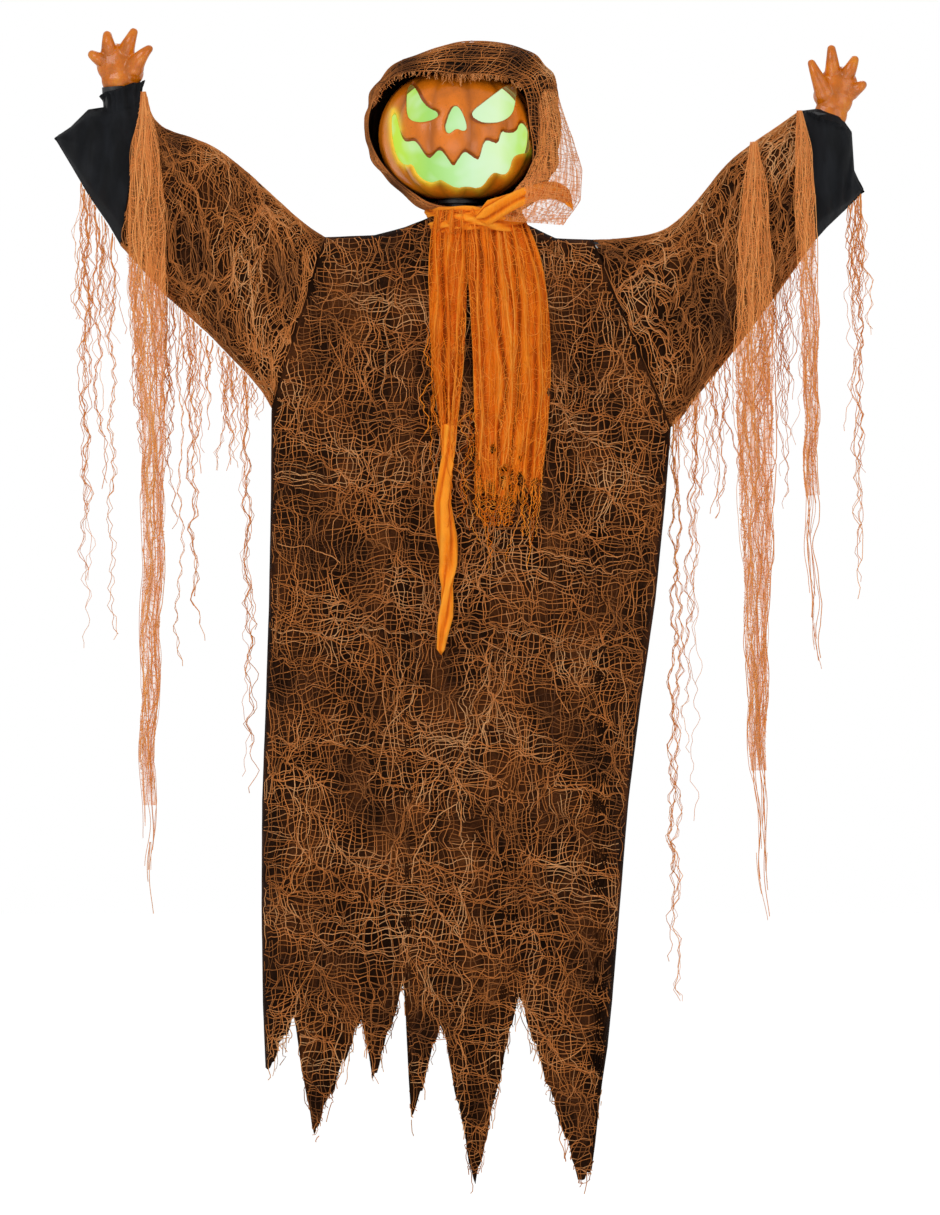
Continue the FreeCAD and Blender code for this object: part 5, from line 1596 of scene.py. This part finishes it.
    def band(self, rows=110, columns=40):
        """The scarf's end thrown back over the right shoulder."""
        path = metres([(30, -268), (66, -254), (108, -232), (146, -222), (176, -232), (184, -256)])
        centre = along(rounded(path), np.linspace(0, 1, rows))
        points, shade = [], []
        for k in range(rows):
            t = k / (rows - 1)
            wide = 0.020 - 0.008 * t
            for c in range(columns):
                b = 2 * math.pi * c / columns
                ridge = 0.5 + 0.5 * math.sin(4 * b + 6 * t + 2 * math.sin(5 * t))
                second = 0.5 + 0.5 * math.sin(9 * b + 13 * t)
                reach = wide * (0.7 + 0.3 * ridge + 0.1 * second) * min(1, 8 * (1 - t) + 0.05, 8 * t + 0.2)
                points.append((centre[k][0] + 0.35 * reach * math.cos(b),
                               -0.088 + 0.045 * t + 0.55 * reach * math.cos(b),
                               centre[k][1] + reach * math.sin(b)))
                # Painted shade between the band's ridges and a painted highlight on them, carried by the fold
                # attribute.
                shade.append(0.12 + 0.62 * ridge + 0.22 * second)
        size = len(points)
        caps = [np.mean(points[:columns], axis=0), np.mean(points[-columns:], axis=0)]
        faces = grid_faces(rows, columns, closed=True)
        faces += [(c, (c + 1) % columns, size) for c in range(columns)]
        faces += far_fan(rows, columns, size + 1)
        piece = mesh_piece("scarf_band", points + caps, faces, FINISH["scarf"])
        layer = piece.data.attributes.new("fold", "FLOAT", "POINT")
        layer.data.foreach_set("value", np.array(shade + [0.4, 0.4], np.float32))
        outward(piece)
        return piece


# ---- loose lengths of gauze --------------------------------------------------------
STRIPS = {
    "strip_left": ([(-506, -66), (-511, -112), (-523, -160), (-525, -240), (-529, -330), (-520, -440),
                    (-508, -570),
                    (-506, -800), (-503, -1050), (-499, -1250), (-495, -1390)],
                   [(-498, -66), (-484, -118), (-472, -190), (-467, -240), (-464, -330), (-467, -440),
                    (-470, -570),
                    (-472, -800), (-475, -1050), (-481, -1250), (-487, -1390)], 12, 0.80, (0.043, 1.14)),
    "strip_right_outer": ([(540, -96), (538, -150), (538, -260), (546, -420), (552, -620), (560, -820),
                           (566, -1000)],
                          [(548, -96), (566, -150), (570, -260), (572, -420), (574, -620), (580, -820),
                           (578, -1000)],
                          8, 0.62, (0.030, 0.61)),
    "strip_right_inner": ([(466, -146), (452, -230), (444, -380), (440, -560), (448, -740), (462, -960),
                           (474, -1200),
                           (486, -1400)],
                          [(478, -146), (496, -230), (504, -380), (502, -560), (500, -740), (496, -960),
                           (498, -1200),
                           (496, -1400)], 12, 0.74, (0.048, 1.0)),
}
STRIP_Y = -0.0425


def strip_flat(name, u, v):
    left, right = STRIPS[name][:2]
    a, b = along(rounded(metres(left)), v), along(rounded(metres(right)), v)
    flat = a + (b - a) * np.asarray(u)[..., None]
    flat[..., 0] += 0.006 * np.sin(v * 9 + len(name)) * v + 0.003 * np.sin(v * 41 + len(name)) * v
    y = STRIP_Y + 0.0035 * np.sin(np.asarray(u) * 7 + v * 5) - 0.004 * np.sin(v * 11) * v
    return np.stack([flat[..., 0], y, flat[..., 1]], -1)


def strip_lines(name, seed):
    """Long threads that bunch and part, fine cross threads, and a frayed end."""
    rng = np.random.default_rng(seed)
    count, dense = STRIPS[name][2:4]
    lines = []
    v = np.linspace(0, 1, 210)
    for k in range(count * 2):
        u = (k + 0.5) / (count * 2)
        sway = 0.16 * waves(seed + k % 5, 0.12, v, v * 0 + k * 0.02) * smooth(v, 0, 0.3)
        u = u + sway + 0.05 * np.sin(v * 70 + k)
        end = dense + (1 - dense) * rng.random() ** 1.5
        keep = v < end
        if rng.random() < 0.25:
            keep &= ~((v > 0.3 + 0.5 * rng.random()) & (v < 0.9))
        points = strip_flat(name, np.clip(u, -0.06, 1.06), v)
        for part in runs(keep):
            lines.append((points[part], 0.35 + 0.5 * rng.random(), 0.7 + 0.7 * rng.random() ** 2))
    u = np.linspace(0, 1, 22)
    height = abs(STRIPS[name][0][0][1] - STRIPS[name][0][-1][1]) * MM
    for at in np.arange(0.004, dense + 0.04, 0.0068 / height):
        at = at + rng.normal(0, 0.0014)
        vv = np.clip(at + 0.007 * waves(seed + 9, 0.5, u, u * 0 + at * 7) + 0.004 * np.sin(u * 9 + at * 90),
                     0, 1)
        keep = waves(seed + 15, 0.25, u, u * 0 + at * 12) > -1.2
        points = strip_flat(name, u, vv)
        for part in runs(keep):
            lines.append((points[part], 0.4 + 0.5 * rng.random(), 0.5 + 0.4 * rng.random()))
    return lines


def yarns(tops, low, count, spread, seed, depth, bundle=3, size=0.0022):
    """Loose yarns from a line of tops: a few threads that wind about each other, curl and end apart."""
    rng = np.random.default_rng(seed)
    tops = metres(tops)
    lines = []
    for _ in range(count):
        at = along(tops, rng.random())
        length = max(0.03, (at[1] - low * MM) * (1 - 0.75 * rng.random() ** 1.3))
        n = max(8, int(length / 0.009))
        t = np.linspace(0, 1, n)
        run = t * length
        lean = rng.normal(0, spread)
        wave = 0.0045 * np.sin(run * 2 * math.pi / rng.uniform(0.09, 0.2) + rng.uniform(0, 6))
        wave = wave * np.minimum(t * 5, 1)
        curl = 0.0028 * np.sin(run * 2 * math.pi / rng.uniform(0.028, 0.05) + rng.uniform(0, 6))
        curl = curl * np.minimum(t * 4, 1)
        kink = np.cumsum(rng.normal(0, 0.0009, n)) * np.minimum(t * 3, 1)
        x, y = at[0] + lean * t + wave + curl + kink, depth + 0.006 * np.sin(t * 5 + rng.uniform(0, 6)) * t
        for _ in range(int(rng.integers(1, bundle + 1))):
            turn = run * 2 * math.pi / rng.uniform(0.03, 0.07) + rng.uniform(0, 6)
            reach = size * rng.uniform(0.2, 1.0) * (1 + 1.5 * t)
            line = np.stack([x + reach * np.sin(turn), y + reach * np.cos(turn), at[1] - run], -1)
            stop = max(5, int(n * (1 - 0.4 * rng.random() ** 2)))
            lines.append((line[:stop], 0.3 + 0.6 * rng.random(), 0.7 + 0.6 * rng.random()))
    return lines


FRINGE = {
    "left": (([(-530, -318), (-470, -388), (-330, -522)], -700, 34, 0.012, 3),
             ([(-470, -388), (-420, -432)], -1000, 5, 0.014, 3),
             ([(-345, -508), (-335, -518)], -1470, 4, 0.010, 4),
             ([(-528, -322), (-300, -560)], -600, 70, 0.010, 1)),
    "right": (([(342, -590), (386, -546), (540, -345)], -760, 30, 0.014, 3),
              ([(344, -590), (352, -580)], -1710, 3, 0.010, 4),
              ([(372, -560), (384, -548)], -1290, 4, 0.012, 4),
              ([(400, -520), (520, -375)], -950, 7, 0.014, 3),
              ([(346, -588), (560, -318)], -640, 70, 0.010, 1)),
}
TASSEL = {"left": ([(-606, -206), (-575, -256), (-548, -300)], -965, 9, 0.016),
          "right": ([(622, -250), (645, -227)], -900, 6, 0.012)}


class SCARECROW_OT_strips(bpy.types.Operator):
    """Hang the sheer strips over the arms, the cuffs' tassels and the fringe under the sleeves"""

    bl_idname = "scarecrow.strips"
    bl_label = "Strips and fringe"

    def execute(self, context):
        strand = context.scene.scarecrow_scarf.strand
        for seed, name in enumerate(STRIPS):
            net = thread_piece(name + "_net", strip_lines(name, 200 + 10 * seed), FINISH["strand"], strand)
            rows, columns = 130, 14
            v, u = np.meshgrid(np.linspace(0, STRIPS[name][3] + 0.06, rows), np.linspace(0.02, 0.98, columns),
                               indexing="ij")
            film = mesh_piece(name + "_film", (strip_flat(name, u, v) + [0, 0.001, 0]).reshape(-1, 3),
                              grid_faces(rows, columns), FINISH["film"])
            for piece in (net, film):
                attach(piece, name)
            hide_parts(name)
        for side in ("left", "right"):
            tops, low, count, spread = TASSEL[side]
            lines = yarns(tops, low, count, spread, 31, -0.012, 4)
            lines += yarns(tops, low * 0.55, 16, spread * 0.6, 37, -0.012, 2)
            piece = thread_piece("tassel_strands_" + side, lines, FINISH["strand"], 0.00055)
            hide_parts("tassel_" + side)
            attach(piece, "tassel_" + side)
            lines = []
            for k, (tops, low, count, spread, bundle) in enumerate(FRINGE[side]):
                lines += yarns(tops, low, count, spread, 50 + k, -0.006, bundle)
            piece = thread_piece("fringe_strands_" + side, lines, FINISH["strand"], 0.00055)
            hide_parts("fringe_" + side)
            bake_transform(piece)
        return {"FINISHED"}


# ---- frame, stage, panel -----------------------------------------------------------
class SCARECROW_OT_frame(bpy.types.Operator):
    """Give the hidden frame, the light and the battery box their finishes"""

    bl_idname = "scarecrow.frame"
    bl_label = "Frame and light"

    def execute(self, context):
        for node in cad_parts.values():
            slot = node.data.materials[0].name.split(".")[0] if node.data.materials else ""
            finish = {"diffuser": "liner", "pumpkin_shell": "pumpkin", "hand_vinyl": "hand"}.get(slot, slot)
            if finish in FINISH:
                node.data.materials[0] = FINISH[finish]
        return {"FINISHED"}


class SCARECROW_OT_stage(bpy.types.Operator):
    """Set the pale floor, the white surround, the soft lamps and the camera"""

    bl_idname = "scarecrow.stage"
    bl_label = "Stage"

    def execute(self, context):
        scene = context.scene
        scene.view_settings.view_transform = "Standard"
        s = Shader("Pale stage")
        rays = s.node("ShaderNodeLightPath")
        seen = s.sums("MAXIMUM", s.sums("MAXIMUM", rays.outputs["Is Camera Ray"],
                                        rays.outputs["Is Glossy Ray"]),
                      rays.outputs["Is Transmission Ray"])
        white = s.finish(s.mix(s.noise(0.4), (0.60, 0.60, 0.60), (0.62, 0.62, 0.62)), 0.9, None,
                         emission_color=(1.0, 1.0, 1.0, 1.0),
                         emission_strength=s.sums("MULTIPLY", seen, 0.62))
        points = [(x, y, -2.08) for y in (-20, 0, 20) for x in (-20, 0, 20)]
        mesh_piece("studio_floor", points, grid_faces(3, 3), white)
        world = bpy.data.worlds.new("Studio")
        scene.world = world
        world.use_nodes = True
        nodes, wires = world.node_tree.nodes, world.node_tree.links
        nodes["Background"].inputs["Color"].default_value = (1, 1, 1, 1)
        nodes["Background"].inputs["Strength"].default_value = 0.62
        shown, either, split = (nodes.new("ShaderNode" + kind) for kind in ("Background", "Math",
                                                                            "MixShader"))
        path = nodes.new("ShaderNodeLightPath")
        either.operation = "MAXIMUM"
        wires.new(path.outputs["Is Camera Ray"], either.inputs[0])
        wires.new(path.outputs["Is Transmission Ray"], either.inputs[1])
        wires.new(either.outputs[0], split.inputs[0])
        wires.new(nodes["Background"].outputs[0], split.inputs[1])
        wires.new(shown.outputs[0], split.inputs[2])
        shown.inputs["Color"].default_value = (1, 1, 1, 1)
        wires.new(split.outputs[0], nodes["World Output"].inputs["Surface"])
        for name, at, size, power in (("key", (-2.2, -3.6, 1.4), 2.4, 62),
                                      ("fill", (2.8, -3.2, 0.2), 2.6, 30),
                                      ("back", (0.4, 2.3, 1.8), 2.2, 26),
                                      ("low", (-0.3, -3.2, -1.7), 1.6, 16)):
            data = bpy.data.lights.new(name, "AREA")
            data.energy, data.size = power, size
            lamp = bpy.data.objects.new(name, data)
            scene.collection.objects.link(lamp)
            lamp.location = at
            lamp.rotation_euler = (Vector((0.0, 0.0, -0.85)) - Vector(at)).to_track_quat("-Z", "Y").to_euler()
        data = bpy.data.cameras.new("view")
        data.sensor_fit, data.sensor_height = "VERTICAL", 24.0
        data.lens = 24.0 * 14.0 / 1.944
        camera = bpy.data.objects.new("view", data)
        scene.collection.objects.link(camera)
        camera.location = (0.019, -14.0, -0.889)
        camera.rotation_euler = (math.pi / 2, 0, 0)
        scene.camera = camera
        return {"FINISHED"}


OPERATORS = (SCARECROW_OT_stage, SCARECROW_OT_frame, SCARECROW_OT_robe, SCARECROW_OT_sleeves,
             SCARECROW_OT_gauze,
             SCARECROW_OT_hood, SCARECROW_OT_head, SCARECROW_OT_hands, SCARECROW_OT_scarf,
             SCARECROW_OT_strips)


class SCARECROW_PT_panel(bpy.types.Panel):
    """Lists the scarecrow's pieces and their settings"""

    bl_idname = "SCARECROW_PT_panel"
    bl_label = "Scarecrow"
    bl_space_type = "VIEW_3D"
    bl_region_type = "UI"
    bl_category = "Scarecrow"

    def draw(self, context):
        for operator in OPERATORS:
            self.layout.operator(operator.bl_idname)
        for name, settings in GROUPS:
            box = self.layout.box()
            for key in settings.__annotations__:
                box.prop(getattr(context.scene, name), key)


def register():
    for name, settings in GROUPS:
        bpy.utils.register_class(settings)
        setattr(bpy.types.Scene, name, bpy.props.PointerProperty(type=settings))
    for entry in (*OPERATORS, SCARECROW_PT_panel):
        bpy.utils.register_class(entry)


def unregister():
    for entry in reversed((*OPERATORS, SCARECROW_PT_panel)):
        bpy.utils.unregister_class(entry)
    for name, settings in reversed(GROUPS):
        delattr(bpy.types.Scene, name)
        bpy.utils.unregister_class(settings)


def main():
    register()
    FINISH.update(make_materials())
    for operator in OPERATORS:
        group, action = operator.bl_idname.split(".")
        getattr(getattr(bpy.ops, group), action)()


if __name__ == "__main__":
    main()
